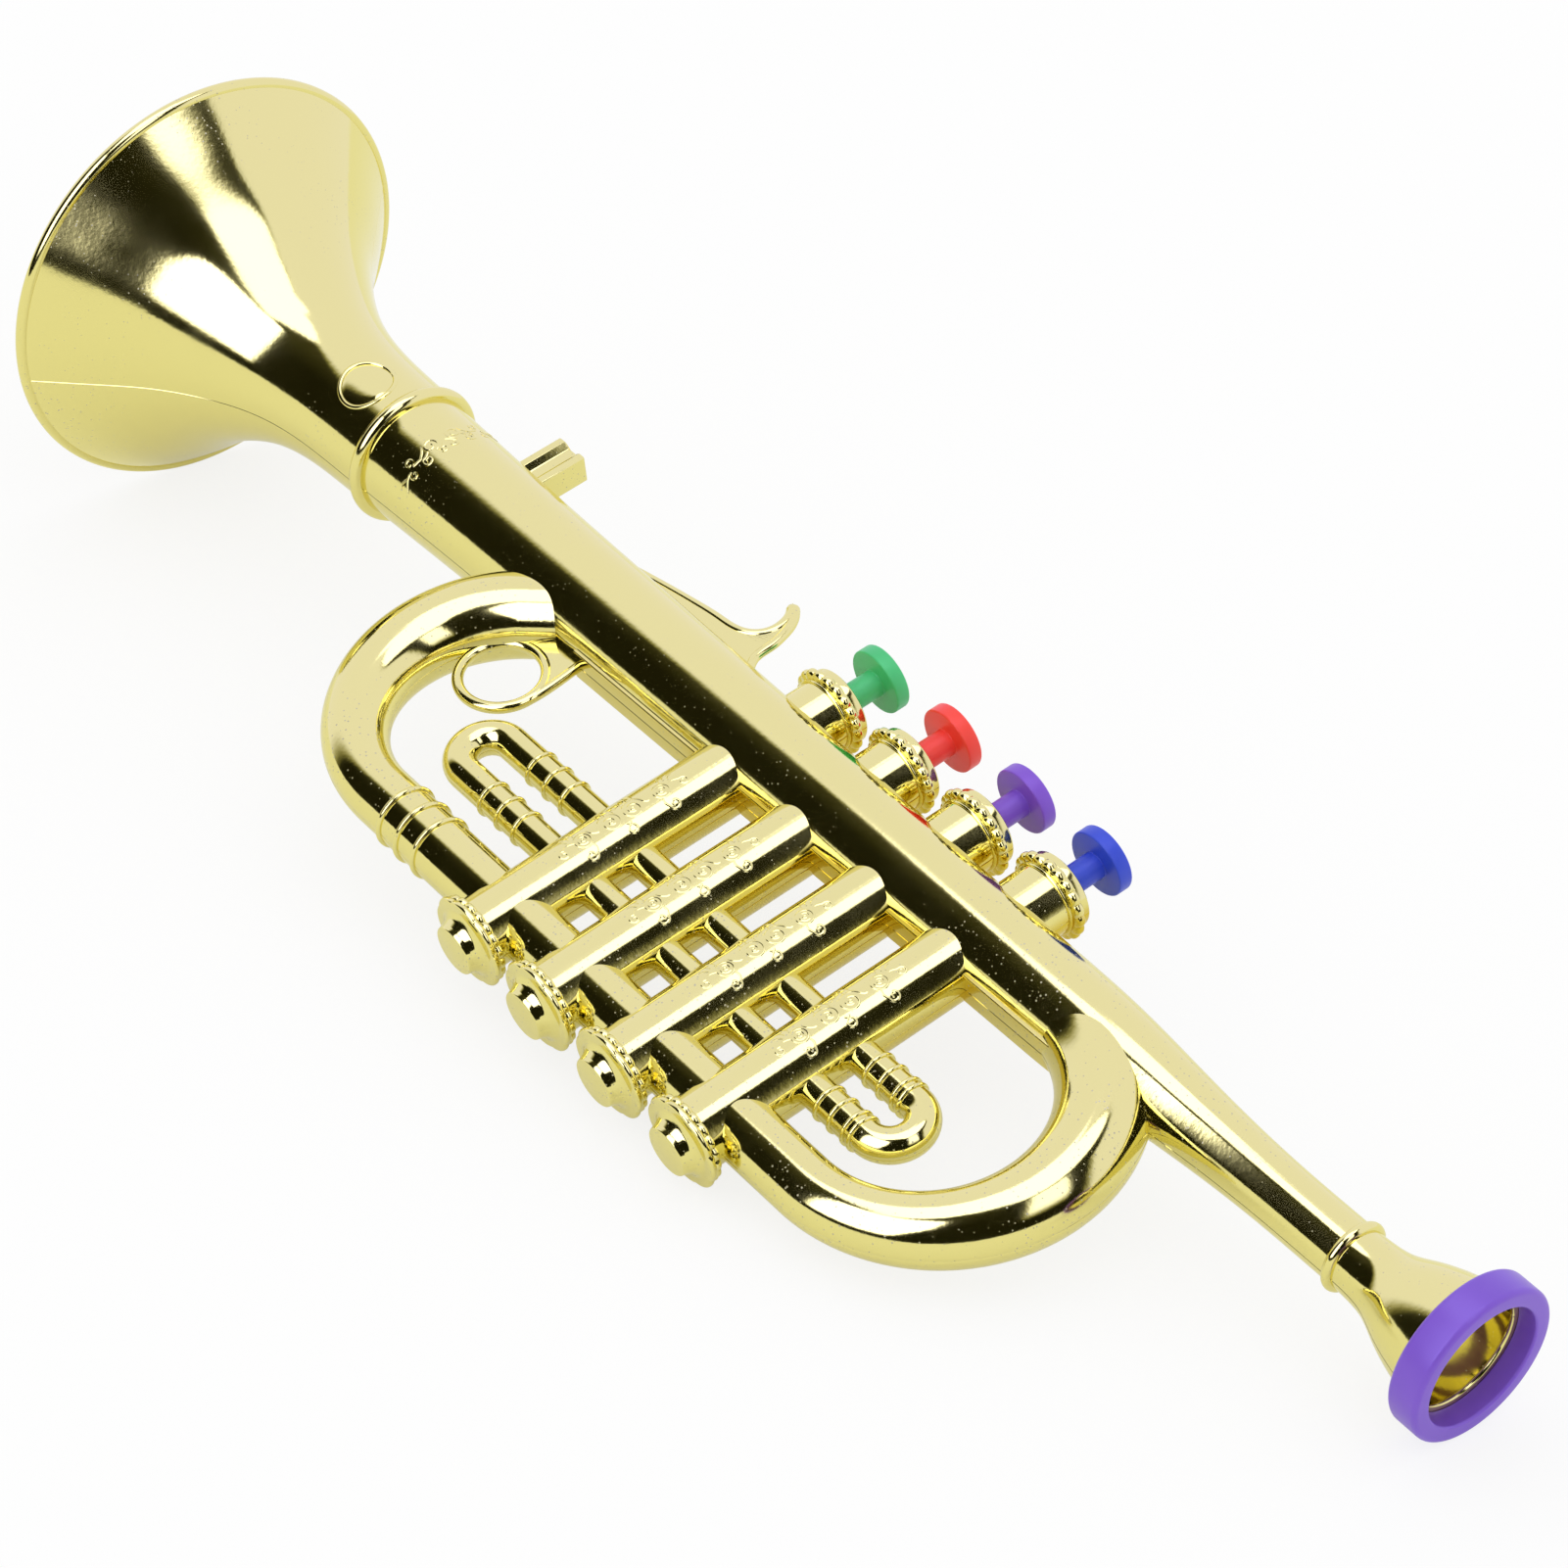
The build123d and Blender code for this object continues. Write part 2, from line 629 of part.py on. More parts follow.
roof_y = gasket_y + gasket_thickness
reed_start = -reed_length / 2 - reed_land / 2
with BuildPart() as reed_block:
    with Locations((block_middle_x, (roof_y + block_top_y) / 2)):
        Box(block_end_x - block_start_x, block_top_y - roof_y, block_half_width * 2)
    cell_height = block_top_y - block_roof - roof_y
    with Locations(*[(x, roof_y + cell_height / 2) for x in valve_xs]):
        Box(cell_half_length * 2, cell_height, cell_half_width * 2, mode=Mode.SUBTRACT)
    slot_length = reed_length - reed_land + slot_margin
    roof_cut = block_roof * 2 + overrun
    for x in valve_xs:
        with Locations((x + reed_start + reed_land + slot_length / 2, block_top_y, reed_side)):
            Box(slot_length, roof_cut, reed_width + slot_margin * 2, mode=Mode.SUBTRACT)
        with Locations(Plane((x, block_top_y, 0), z_dir=(0, 1, 0))):
            Cylinder(rod_radius + slide_gap, roof_cut, mode=Mode.SUBTRACT)
        with Locations(Plane((x + reed_start + reed_land / 2, block_top_y, reed_side), z_dir=(0, 1, 0))):
            Cylinder(rivet_radius + press_gap, roof_cut, mode=Mode.SUBTRACT)
reed_block.part.label = "reed_block"
nodes += [port_deck, gasket, reed_block]

reed_top_y = block_top_y + reed_thickness
spring_low_y = spring_floor_y + spring_wire
pad_top_y = port_y - pad_gap
foot_top_y = pad_top_y - pad_thickness
foot_low_y = foot_top_y - foot_disc
boss_end_y = rod_end_y - foot_disc
for x, name in zip(valve_xs, key_names):
    rivet_x = x + reed_start + reed_land / 2
    with BuildPart() as reed:
        with Locations((x + reed_start + reed_length / 2, block_top_y + reed_thickness / 2, reed_side)):
            Box(reed_length, reed_thickness, reed_width)
        with Locations(Plane((rivet_x, block_top_y, reed_side), z_dir=(0, 1, 0))):
            Cylinder(rivet_radius + press_gap, block_roof, mode=Mode.SUBTRACT)
    reed.part.label = "reed_" + name

    with BuildPart() as rivet:
        shank_low_y = block_top_y - block_roof
        rivet_top_y = reed_top_y + rivet_head
        add_rod((rivet_x, shank_low_y, reed_side), (rivet_x, reed_top_y, reed_side), rivet_radius)
        add_rod((rivet_x, reed_top_y, reed_side), (rivet_x, rivet_top_y, reed_side), rivet_head_radius)
    rivet.part.label = "reed_rivet_" + name

    with BuildPart() as key:
        add_rod((x, rod_end_y, 0), (x, shoulder_y, 0), rod_radius)
        add_rod((x, shoulder_y, 0), (x, head_under_y, 0), stem_radius)
        add_rod((x, head_under_y, 0), (x, head_under_y + head_thickness, 0), head_radius)
        rounds = edges().filter_by(GeomType.CIRCLE)
        rims = rounds.filter_by(lambda edge: edge.radius > head_radius - head_round)
        fillet(rims, head_round)
    key.part.label = "key_" + name

    with BuildPart() as pad:
        with BuildSketch(Plane((x, pad_top_y, 0), z_dir=(0, -1, 0))):
            Circle(pad_radius)
            Circle(rod_radius + press_gap, mode=Mode.SUBTRACT)
        extrude(amount=pad_thickness)
    pad.part.label = "valve_pad_" + name

    with BuildPart() as foot:
        add_rod((x, foot_low_y, 0), (x, foot_top_y, 0), foot_radius)
        add_rod((x, boss_end_y, 0), (x, foot_low_y, 0), foot_boss_radius)
        with BuildSketch(Plane((x, rod_end_y, 0), z_dir=(0, 1, 0))):
            Circle(rod_radius + press_gap)
        extrude(amount=foot_top_y - rod_end_y, mode=Mode.SUBTRACT)
    foot.part.label = "key_foot_" + name

    with BuildPart() as spring:
        spring_height = foot_low_y - spring_wire - spring_low_y
        with BuildLine() as coil:
            Helix(spring_height / spring_turns, spring_height, spring_radius,
                  center=(x, spring_low_y, 0), direction=(0, 1, 0))
        with BuildSketch(Plane(coil.line @ 0, z_dir=coil.line % 0)):
            Circle(spring_wire)
        sweep(path=coil.line)
    spring.part.label = "spring_" + name
    nodes += [reed, rivet, key, pad, foot, spring]


# Lying pose: the bell's rim, the lip ring and the last bottom cap touch the table
def rim_low(normal):
    return normal[0] * rim_x - rim_r * sqrt(1 - normal[0] ** 2) - rim_bead


def ring_low(normal):
    centre_x, major = mouth_x - ring_round, ring_radius - ring_round
    return normal[0] * centre_x - major * sqrt(1 - normal[0] ** 2) - ring_round


def cap_low(normal):
    reach = flange_radius - lobe_radius
    lows = []
    for k in range(lobe_count):
        angle = 2 * pi * k / lobe_count
        centre = (last_valve_x + reach * cos(angle), flange_y, reach * sin(angle))
        height = sum(n * c for n, c in zip(normal, centre))
        lows.append(height - lobe_radius * sqrt(1 - normal[1] ** 2))
    return min(lows)


def table_normal(pitch, roll):
    return (-sin(pitch), cos(pitch) * sin(roll), cos(pitch) * cos(roll))


def balance(gap, low, high):
    # Angle at which a gap to the table closes, found by halving the interval.
    for _ in range(halvings):
        middle = (low + high) / 2
        if gap(low) * gap(middle) <= 0:
            high = middle
        else:
            low = middle
    return (low + high) / 2


pitch = balance(lambda a: rim_low(table_normal(a, 0)) - ring_low(table_normal(a, 0)),
                0, radians(pitch_limit))
roll = balance(lambda a: rim_low(table_normal(pitch, a)) - cap_low(table_normal(pitch, a)),
               0, radians(roll_limit))
up_axis = table_normal(pitch, roll)
up = Vector(*up_axis)
along = (Vector(1, 0, 0) - up * up.X).normalized()
table = Plane((0, 0, 0), x_dir=along, z_dir=up)
turned = table.location.inverse()
boxes = [node.part.moved(turned).bounding_box() for node in nodes]
low = [min(box.min.X for box in boxes), min(box.min.Y for box in boxes), min(box.min.Z for box in boxes)]
high = [max(box.max.X for box in boxes), max(box.max.Y for box in boxes), max(box.max.Z for box in boxes)]
shift = Vector(-(low[0] + high[0]) / 2, -(low[1] + high[1]) / 2, -low[2])
lying = Location(shift) * turned
print("x axis", along.X, along.Y, along.Z)
print("z axis", up.X, up.Y, up.Z)
print("shift", shift.X, shift.Y, shift.Z, "heights", rim_low(up_axis), low[2])
print("box", low, high, "pitch", degrees(pitch), "roll", degrees(roll))

os.makedirs("parts", exist_ok=True)
for node in nodes:
    placed = node.part.moved(lying)
    placed.label = node.part.label
    export_step(placed, "parts/" + placed.label + ".step")
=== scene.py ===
import json
import math

import bpy
import numpy as np
from mathutils import Matrix


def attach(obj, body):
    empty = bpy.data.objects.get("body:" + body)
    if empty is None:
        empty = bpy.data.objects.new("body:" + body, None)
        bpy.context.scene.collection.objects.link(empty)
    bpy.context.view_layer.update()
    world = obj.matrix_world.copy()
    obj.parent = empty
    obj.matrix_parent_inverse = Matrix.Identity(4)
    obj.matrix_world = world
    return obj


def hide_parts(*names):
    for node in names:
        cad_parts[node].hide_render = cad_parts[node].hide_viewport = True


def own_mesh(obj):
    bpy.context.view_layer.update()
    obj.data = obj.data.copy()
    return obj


# Toy trumpet: gold plated half shells, four sprung coloured keys, purple lip ring.
# Shapes are worked out in the instrument frame, in mm: x from the bell's rim to the mouthpiece,
# y towards the key heads, z square to the seam. toRow puts them where the trumpet lies.
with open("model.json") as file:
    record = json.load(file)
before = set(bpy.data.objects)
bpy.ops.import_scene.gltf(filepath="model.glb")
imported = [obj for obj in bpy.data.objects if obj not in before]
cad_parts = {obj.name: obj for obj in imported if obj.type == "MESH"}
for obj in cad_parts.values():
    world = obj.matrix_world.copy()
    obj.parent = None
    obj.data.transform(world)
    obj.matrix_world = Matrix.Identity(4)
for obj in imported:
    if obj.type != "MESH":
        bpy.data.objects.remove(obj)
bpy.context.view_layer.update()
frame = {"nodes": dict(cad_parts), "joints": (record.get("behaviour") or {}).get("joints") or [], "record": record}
record = frame["record"]
print("frame loaded")

# The instrument frame is found again from the lip ring's bore, at x = mouthX, and from the keys' way down
mouth = [m for m in record["mounts"] if m["name"] == "lip_ring_bore"][0]
mouthX = 419.1
xAxis = np.array(mouth["axis"], float)
xAxis /= np.linalg.norm(xAxis)
yAxis = -np.array(frame["joints"][0]["axis"], float)
yAxis /= np.linalg.norm(yAxis)
axes = np.stack([xAxis, yAxis, np.cross(xAxis, yAxis)])
origin = np.array(mouth["pos_m"], float) - xAxis * mouthX * 0.001


def toRow(points):
    # Instrument mm to metres in the frame shared with the solids.
    return np.asarray(points, float) * 0.001 @ axes + origin


def addObject(name, data):
    # A new object in the scene.
    thing = bpy.data.objects.new(name, data)
    bpy.context.scene.collection.objects.link(thing)
    return thing


# Camera, solved from the outline of the tubes in the photograph
camera = {"place": (798.929, -398.921, 745.746), "look": (-0.56658599, 0.38666127, -0.72764922),
          "right": (0.62584235, 0.77635742, -0.07476977), "down": (0.53600529, -0.4977572, -0.68186223),
          "lens": 113.06, "sensor": 36.0, "shift": (0.0002, 0.0009)}
lensData = bpy.data.cameras.new("camera")
lensData.lens = camera["lens"]
lensData.sensor_width = camera["sensor"]
lensData.sensor_fit = "HORIZONTAL"
lensData.shift_x, lensData.shift_y = camera["shift"]
lensData.clip_start = 0.05
lensData.clip_end = 20.0
cameraObject = addObject("camera", lensData)
turned = [np.array(camera[k], float) @ axes for k in ("right", "down", "look")]
turned = [v / np.linalg.norm(v) for v in turned]
place = toRow(camera["place"])
cameraObject.matrix_world = Matrix([[turned[0][i], -turned[1][i], -turned[2][i], place[i]] for i in range(3)]
                                   + [[0, 0, 0, 1]])
bpy.context.scene.camera = cameraObject
bpy.context.scene.view_settings.view_transform = "Standard"
print("camera set")


def linear(hexColour):
    # sRGB hex to linear values.
    c = np.array([int(hexColour[i:i + 2], 16) for i in (1, 3, 5)]) / 255
    c = np.where(c <= 0.04045, c / 12.92, ((c + 0.055) / 1.055) ** 2.4)
    return (*[float(v) for v in c], 1.0)


def addNode(tree, kind, settings=None, sockets=None, links=None):
    # One node with its settings, socket values and incoming links.
    node = tree.nodes.new(kind)
    for key, value in (settings or {}).items():
        setattr(node, key, value)
    for key, value in (sockets or {}).items():
        node.inputs[key].default_value = value
    for key, source in (links or {}).items():
        tree.links.new(source, node.inputs[key])
    return node


def newMaterial(name):
    # A material whose node tree is empty.
    material = bpy.data.materials.new(name)
    material.use_nodes = True
    material.node_tree.nodes.clear()
    return material, material.node_tree


def noise(tree, place, sizeMm, detail):
    # Noise with features of about this size.
    return addNode(tree, "ShaderNodeTexNoise", sockets={"Scale": 1000 / sizeMm, "Detail": detail},
                   links={"Vector": place}).outputs["Fac"]


def spread(tree, value, target, source=(0.0, 1.0)):
    # The source range of the value, spread over the target range.
    return addNode(tree, "ShaderNodeMapRange", sockets={"From Min": source[0], "From Max": source[1],
                   "To Min": target[0], "To Max": target[1]}, links={"Value": value}).outputs["Result"]


# Studio, read from the reflections in the photograph. The room is a plain white one. Metal and gloss
# see a dome around the table: a white ceiling, a white backdrop behind the keys, a square softbox in
# front of the bell, a slanting one at the mouthpiece, and dark room between them. Angles are degrees
# as the bell sees them. The ceiling's and frontTop's edges are (azimuth, elevation) pairs, the other
# edges (elevation, azimuth) pairs. Fades and plain pairs run from no light to full light.
studio = {
    "centre": (-0.2, 0.0, 0.06), "radius": 1.15, "columns": 96, "rows": 48,
    "dark": (0.012, 0.04), "darkHeights": (35, 68), "ceiling": 2.3, "backdrop": 0.95, "softbox": 2.8,
    "sideBox": 1.9, "warm": (1.0, 0.95, 0.42, 1.0), "cool": (1.0, 1.0, 1.42, 1.0),
    "toneLevels": (0.03, 0.9),
    "ceilingEdge": [(-180, 79), (-165, 75), (-152, 71.5), (-112, 70.5), (-100, 68.5), (-90, 66.5),
                    (-84, 64.5), (-78, 61.5), (-73, 59), (-60, 58.5), (-48, 58.8), (-37, 59), (-27, 57),
                    (-24, 56), (-18, 53.5), (-15, 51.7), (-11, 49.8), (-3, 49.3), (2, 49.6), (8, 50.5),
                    (12, 51.3), (20, 52.6), (30, 53.6), (40, 55.5), (45, 57), (49, 62), (52, 70),
                    (57, 80), (110, 80), (130, 84), (150, 86), (180, 79)],
    "backdropLeftEdge": [(0, 17), (25, 18), (42, 22), (52, 43), (60, 50), (70, 54), (80, 58), (90, 60)],
    "frontRightEdge": [(4, -57), (8, -55.3), (11, -53.8), (14, -52.4), (18, -50.8), (21, -49),
                       (25, -46.6), (30, -44.2), (38, -42), (50, -41)],
    "frontTopEdge": [(-94, 60.5), (-78, 60), (-70, 58), (-60, 56), (-50, 53), (-44, 49), (-40, 44)],
    "ceilingFade": (-1.8, 2.2), "backdropLeftFade": (-3, 3.5), "frontRightFade": (1.2, -1.8),
    "frontTopFade": (0.8, -1.2), "backdropRight": (-137.0, -155.0), "frontLeft": (-94.0, -90.3),
    "frontLow": (4.5, 9.5), "sideLeft": (-11.0, -6.5), "sideRight": (9.0, 7.5), "sideLow": (10.0, 26.0),
    "sideTop": (49.5, 46.0)}
world = bpy.data.worlds.new("whiteRoom")
bpy.context.scene.world = world
world.use_nodes = True
world.node_tree.nodes.clear()
room = addNode(world.node_tree, "ShaderNodeBackground", sockets={"Color": (1, 1, 1, 1), "Strength": 1.0})
addNode(world.node_tree, "ShaderNodeOutputWorld", links={"Surface": room.outputs[0]})
domeLook, tree = newMaterial("studioDome")


def mathNode(operation, *values):
    # One calculation in the tree of the dome or the floor; each value is a number or an output.
    node = addNode(tree, "ShaderNodeMath", {"operation": operation})
    for k, value in enumerate(values):
        if isinstance(value, (int, float)):
            node.inputs[k].default_value = value
        else:
            tree.links.new(value, node.inputs[k])
    return node.outputs[0]


def ramp(value, start, end):
    # Node for a smooth step from 0 at the start to 1 at the end.
    node = addNode(tree, "ShaderNodeMapRange", {"interpolation_type": "SMOOTHSTEP"},
                   {"From Min": start, "From Max": end}, {"Value": value})
    return node.outputs["Result"]


def edgeCurve(value, pairs):
    # Straight runs through (input, output) pairs, added up as clamped ramps.
    total = pairs[0][1]
    for (x0, y0), (x1, y1) in zip(pairs[:-1], pairs[1:]):
        run = addNode(tree, "ShaderNodeMapRange", {"interpolation_type": "LINEAR"},
                      {"From Min": x0, "From Max": x1, "To Max": y1 - y0}, {"Value": value})
        total = mathNode("ADD", run.outputs["Result"], total)
    return total


def past(value, across, name):
    # 0 to 1 as the value passes the named edge, which varies with the angle across it.
    edge = edgeCurve(across, studio[name + "Edge"])
    return ramp(mathNode("SUBTRACT", value, edge), *studio[name + "Fade"])


def times(first, *others):
    # Product of all the values.
    for other in others:
        first = mathNode("MULTIPLY", first, other)
    return first


domePlace = addNode(tree, "ShaderNodeTexCoord").outputs["Object"]
fromBell = addNode(tree, "ShaderNodeVectorMath", {"operation": "SUBTRACT"}, {1: studio["centre"]},
                   {0: domePlace})
way = addNode(tree, "ShaderNodeVectorMath", {"operation": "NORMALIZE"}, links={0: fromBell.outputs[0]})
parting = addNode(tree, "ShaderNodeSeparateXYZ", links={0: way.outputs[0]})
azimuth = times(mathNode("ARCTAN2", parting.outputs[1], parting.outputs[0]), 180 / math.pi)
height = times(mathNode("ARCSINE", parting.outputs[2]), 180 / math.pi)
ceiling = past(height, azimuth, "ceiling")
backdrop = mathNode("MAXIMUM", past(azimuth, height, "backdropLeft"), ramp(azimuth, *studio["backdropRight"]))
frontBox = times(ramp(azimuth, *studio["frontLeft"]), past(azimuth, height, "frontRight"),
                 ramp(height, *studio["frontLow"]), past(height, azimuth, "frontTop"))
sideBox = times(ramp(azimuth, *studio["sideLeft"]), ramp(azimuth, *studio["sideRight"]),
                ramp(height, *studio["sideLow"]), ramp(height, *studio["sideTop"]))
darkLow, darkHigh = studio["dark"]
light = mathNode("MULTIPLY_ADD", ramp(height, *studio["darkHeights"]), darkHigh - darkLow, darkLow)
for part, level in ((ceiling, "ceiling"), (backdrop, "backdrop"), (frontBox, "softbox"),
                    (sideBox, "sideBox")):
    light = mathNode("MAXIMUM", light, times(part, studio[level]))
tone = addNode(tree, "ShaderNodeMix", {"data_type": "RGBA"},
               links={"Factor": ramp(light, *studio["toneLevels"])})
tone.inputs["A"].default_value = studio["warm"]
tone.inputs["B"].default_value = studio["cool"]
glowNode = addNode(tree, "ShaderNodeEmission", links={"Color": tone.outputs["Result"], "Strength": light})
addNode(tree, "ShaderNodeOutputMaterial", links={"Surface": glowNode.outputs[0]})

# Dome as a sphere that only mirror-like rays meet
columns, rows = studio["columns"], studio["rows"]
across, upward = np.meshgrid(np.linspace(0, 2 * np.pi, columns + 1),
                             np.linspace(-np.pi / 2, np.pi / 2, rows + 1))
spherePoints = np.stack([np.cos(across) * np.cos(upward), np.sin(across) * np.cos(upward),
                         np.sin(upward)], -1)
spherePoints = spherePoints.reshape(-1, 3) * studio["radius"] + np.array(studio["centre"])
corner = (np.arange(rows)[:, None] * (columns + 1) + np.arange(columns)[None]).reshape(-1, 1)
domeFaces = corner + np.array([[0, columns + 1, columns + 2, 1]])
domeMesh = bpy.data.meshes.new("studioDome")
domeMesh.from_pydata(spherePoints.tolist(), [], domeFaces.tolist())
dome = addObject("studioDome", domeMesh)
domeMesh.materials.append(domeLook)
for rays in ("camera", "diffuse", "transmission", "volume_scatter", "shadow"):
    setattr(dome, "visible_" + rays, False)
domeLook.cycles.emission_sampling = "NONE"

# Floor: a matt white table that the camera sees nearly white, with the trumpet's soft shadow left on it
floorLook = {"albedo": 0.88, "glow": 1.02, "cameraWhite": 0.8, "mirrorWhite": 0.3, "reach": 6.0}
floorMesh = bpy.data.meshes.new("floor")
reach = floorLook["reach"]
floorMesh.from_pydata([(-reach, -reach, 0), (reach, -reach, 0), (reach, reach, 0), (-reach, reach, 0)], [],
                      [(0, 1, 2, 3)])
floor = addObject("floor", floorMesh)
paper, tree = newMaterial("mattWhitePaper")
matt = addNode(tree, "ShaderNodeBsdfDiffuse", sockets={"Color": (floorLook["albedo"],) * 3 + (1,)})
glow = addNode(tree, "ShaderNodeEmission", sockets={"Color": (1, 1, 1, 1), "Strength": floorLook["glow"]})
eye = addNode(tree, "ShaderNodeLightPath").outputs
bounced = mathNode("MAXIMUM", eye["Is Glossy Ray"], eye["Is Transmission Ray"])
share = mathNode("MULTIPLY_ADD", eye["Is Camera Ray"], floorLook["cameraWhite"],
                 times(bounced, floorLook["mirrorWhite"]))
blend = addNode(tree, "ShaderNodeMixShader", links={0: share, 1: matt.outputs[0], 2: glow.outputs[0]})
addNode(tree, "ShaderNodeOutputMaterial", links={"Surface": blend.outputs[0]})
floorMesh.materials.append(paper)
print("studio and floor made")


# Depths of plastic, in metres: the orange peel's relief, and how far and in which colours light goes in
plasticSkin = {"peelDepth": 0.00004, "glowDepth": 0.002, "glowColours": (1.0, 0.8, 0.6)}


def plasticMaterial(name, look):
    # Injection moulded plastic: a satin skin with faint flow mottling and a fine orange peel.
    material, tree = newMaterial(name)
    place = addNode(tree, "ShaderNodeTexCoord").outputs["Object"]
    mottle = noise(tree, place, look["mottleMm"], 3.0)
    peel = noise(tree, place, look["peelMm"], 2.0)
    tint = addNode(tree, "ShaderNodeMix", {"data_type": "RGBA"}, links={"Factor": mottle})
    tint.inputs["A"].default_value = linear(look["deep"])
    tint.inputs["B"].default_value = linear(look["colour"])
    bump = addNode(tree, "ShaderNodeBump", links={"Height": peel},
                   sockets={"Strength": look["peel"], "Distance": plasticSkin["peelDepth"]})
    skin = addNode(tree, "ShaderNodeBsdfPrincipled", sockets={"IOR": look["ior"],
                   "Subsurface Weight": look["glow"], "Subsurface Scale": plasticSkin["glowDepth"]},
                   links={"Base Color": tint.outputs["Result"], "Normal": bump.outputs["Normal"],
                          "Roughness": spread(tree, mottle, look["rough"])})
    skin.inputs["Subsurface Radius"].default_value = plasticSkin["glowColours"]
    addNode(tree, "ShaderNodeOutputMaterial", links={"Surface": skin.outputs[0]})
    return material


def goldMaterial(name, look):
    # Vacuum metallised ABS under yellow lacquer: mirror bright, greenish yellow, a little waviness from
    # the mould, a fine orange peel that roughens the edges of reflections, pale dust specks that only
    # show in the dark ones, and painted shade: a deeper yellow where the attribute marks shaded undersides and
    # recesses between parts.
    # Specks are drawn up to 0.4 mm wide, coarser than dust, so that they show.
    material, tree = newMaterial(name)
    place = addNode(tree, "ShaderNodeTexCoord").outputs["Object"]
    wave = noise(tree, place, look["waveMm"], 1.0)
    peel = noise(tree, place, look["peelMm"], 2.0)
    cloud = noise(tree, place, look["cloudMm"], 4.0)
    patch = noise(tree, place, look["patchMm"], 2.0)
    dust = addNode(tree, "ShaderNodeTexVoronoi", {"feature": "F1"}, {"Scale": 1000 / look["dustMm"]},
                   {"Vector": place})
    size = spread(tree, patch, look["speck"], look["patches"])
    near = addNode(tree, "ShaderNodeMath", {"operation": "DIVIDE"},
                   links={0: dust.outputs["Distance"], 1: size})
    speck = spread(tree, near.outputs[0], (1.0, 0.0), look["speckEdge"])
    dusty = addNode(tree, "ShaderNodeMath", {"operation": "MULTIPLY_ADD"}, {1: look["dustRough"]},
                    {0: speck, 2: spread(tree, cloud, look["rough"], look["clouds"])})
    metallic = spread(tree, speck, (1.0, look["dustMetal"]))
    # Painted shade: the attribute mixes the gold towards a deeper yellow where shade falls
    paintedShade = addNode(tree, "ShaderNodeAttribute", {"attribute_name": "paintedShadeMask"})
    shadedTint = addNode(tree, "ShaderNodeMix", {"data_type": "RGBA"}, links={"Factor": paintedShade.outputs["Fac"]})
    shadedTint.inputs["A"].default_value = look["reflects"]
    shadedTint.inputs["B"].default_value = look["paintedShade"]
    tint = addNode(tree, "ShaderNodeMix", {"data_type": "RGBA"},
                   links={"Factor": speck, "A": shadedTint.outputs["Result"]})
    tint.inputs["B"].default_value = linear(look["dustColour"])
    bump = addNode(tree, "ShaderNodeBump", sockets={"Strength": look["wave"], "Distance": look["waveDepth"]},
                   links={"Height": wave})
    fine = addNode(tree, "ShaderNodeBump", sockets={"Strength": look["peel"], "Distance": look["peelDepth"]},
                   links={"Height": peel, "Normal": bump.outputs["Normal"]})
    skin = addNode(tree, "ShaderNodeBsdfPrincipled",
                   links={"Base Color": tint.outputs["Result"], "Metallic": metallic,
                          "Roughness": dusty.outputs[0], "Normal": fine.outputs["Normal"]})
    skin.inputs["Specular Tint"].default_value = look["rim"]
    addNode(tree, "ShaderNodeOutputMaterial", links={"Surface": skin.outputs[0]})
    return material


def metalMaterial(name, look):
    # Plain drawn or rolled metal, its gloss broken up by a fine grain.
    material, tree = newMaterial(name)
    grain = noise(tree, addNode(tree, "ShaderNodeTexCoord").outputs["Object"], look["grainMm"], 3.0)
    skin = addNode(tree, "ShaderNodeBsdfPrincipled", sockets={"Metallic": 1.0},
                   links={"Roughness": spread(tree, grain, look["rough"])})
    skin.inputs["Base Color"].default_value = linear(look["colour"])
    addNode(tree, "ShaderNodeOutputMaterial", links={"Surface": skin.outputs[0]})
    return material


# The second gold colour is painted shade, a deeper yellow for shaded undersides and recesses
gold = goldMaterial("vacuumPlatedGold", {"reflects": (0.845, 0.762, 0.27, 1), "rim": (1, 1, 0.95, 1),
                    "paintedShade": (0.72, 0.54, 0.045, 1), "waveMm": 9.0, "wave": 0.06, "waveDepth": 0.0004,
                    "peelMm": 1.1, "peel": 0.3, "peelDepth": 0.00003, "cloudMm": 14.0, "clouds": (0.35, 0.75),
                    "rough": (0.075, 0.125), "patchMm": 40.0, "patches": (0.38, 0.62), "dustMm": 1.3,
                    "speck": (0.02, 0.2), "speckEdge": (0.6, 1.0), "dustRough": 0.25, "dustMetal": 0.5,
                    "dustColour": "#C2BC98"})
keyLook = {"mottleMm": 6.0, "rough": (0.30, 0.42), "peelMm": 0.5, "peel": 0.12, "ior": 1.49, "glow": 0.12}
keyColours = {"green": ("#50CE80", "#43BE72"), "red": ("#FF4C3C", "#F93B2E"),
              "purple": ("#8A59D6", "#7C4DC9"), "blue": ("#3550D8", "#2A43CA")}
keyPlastic = {name: plasticMaterial(name + "Polypropylene", {**keyLook, "colour": colour, "deep": deep})
              for name, (colour, deep) in keyColours.items()}
ringPlastic = plasticMaterial("purpleSoftPvc", {"colour": "#8258D2", "deep": "#774CC8", "mottleMm": 9.0,
              "rough": (0.28, 0.38), "peelMm": 0.6, "peel": 0.1, "ior": 1.52, "glow": 0.1})
whitePlastic = plasticMaterial("whiteAbs", {"colour": "#DCDCD6", "deep": "#D2D2CA", "mottleMm": 8.0,
               "rough": (0.45, 0.55), "peelMm": 0.6, "peel": 0.2, "ior": 1.53, "glow": 0.0})
darkRubber = plasticMaterial("blackRubber", {"colour": "#2A2926", "deep": "#21201E", "mottleMm": 4.0,
             "rough": (0.7, 0.85), "peelMm": 0.4, "peel": 0.4, "ior": 1.52, "glow": 0.0})
rolledBrass = metalMaterial("rolledBrass", {"colour": "#D9BE72", "grainMm": 0.4, "rough": (0.2, 0.35)})
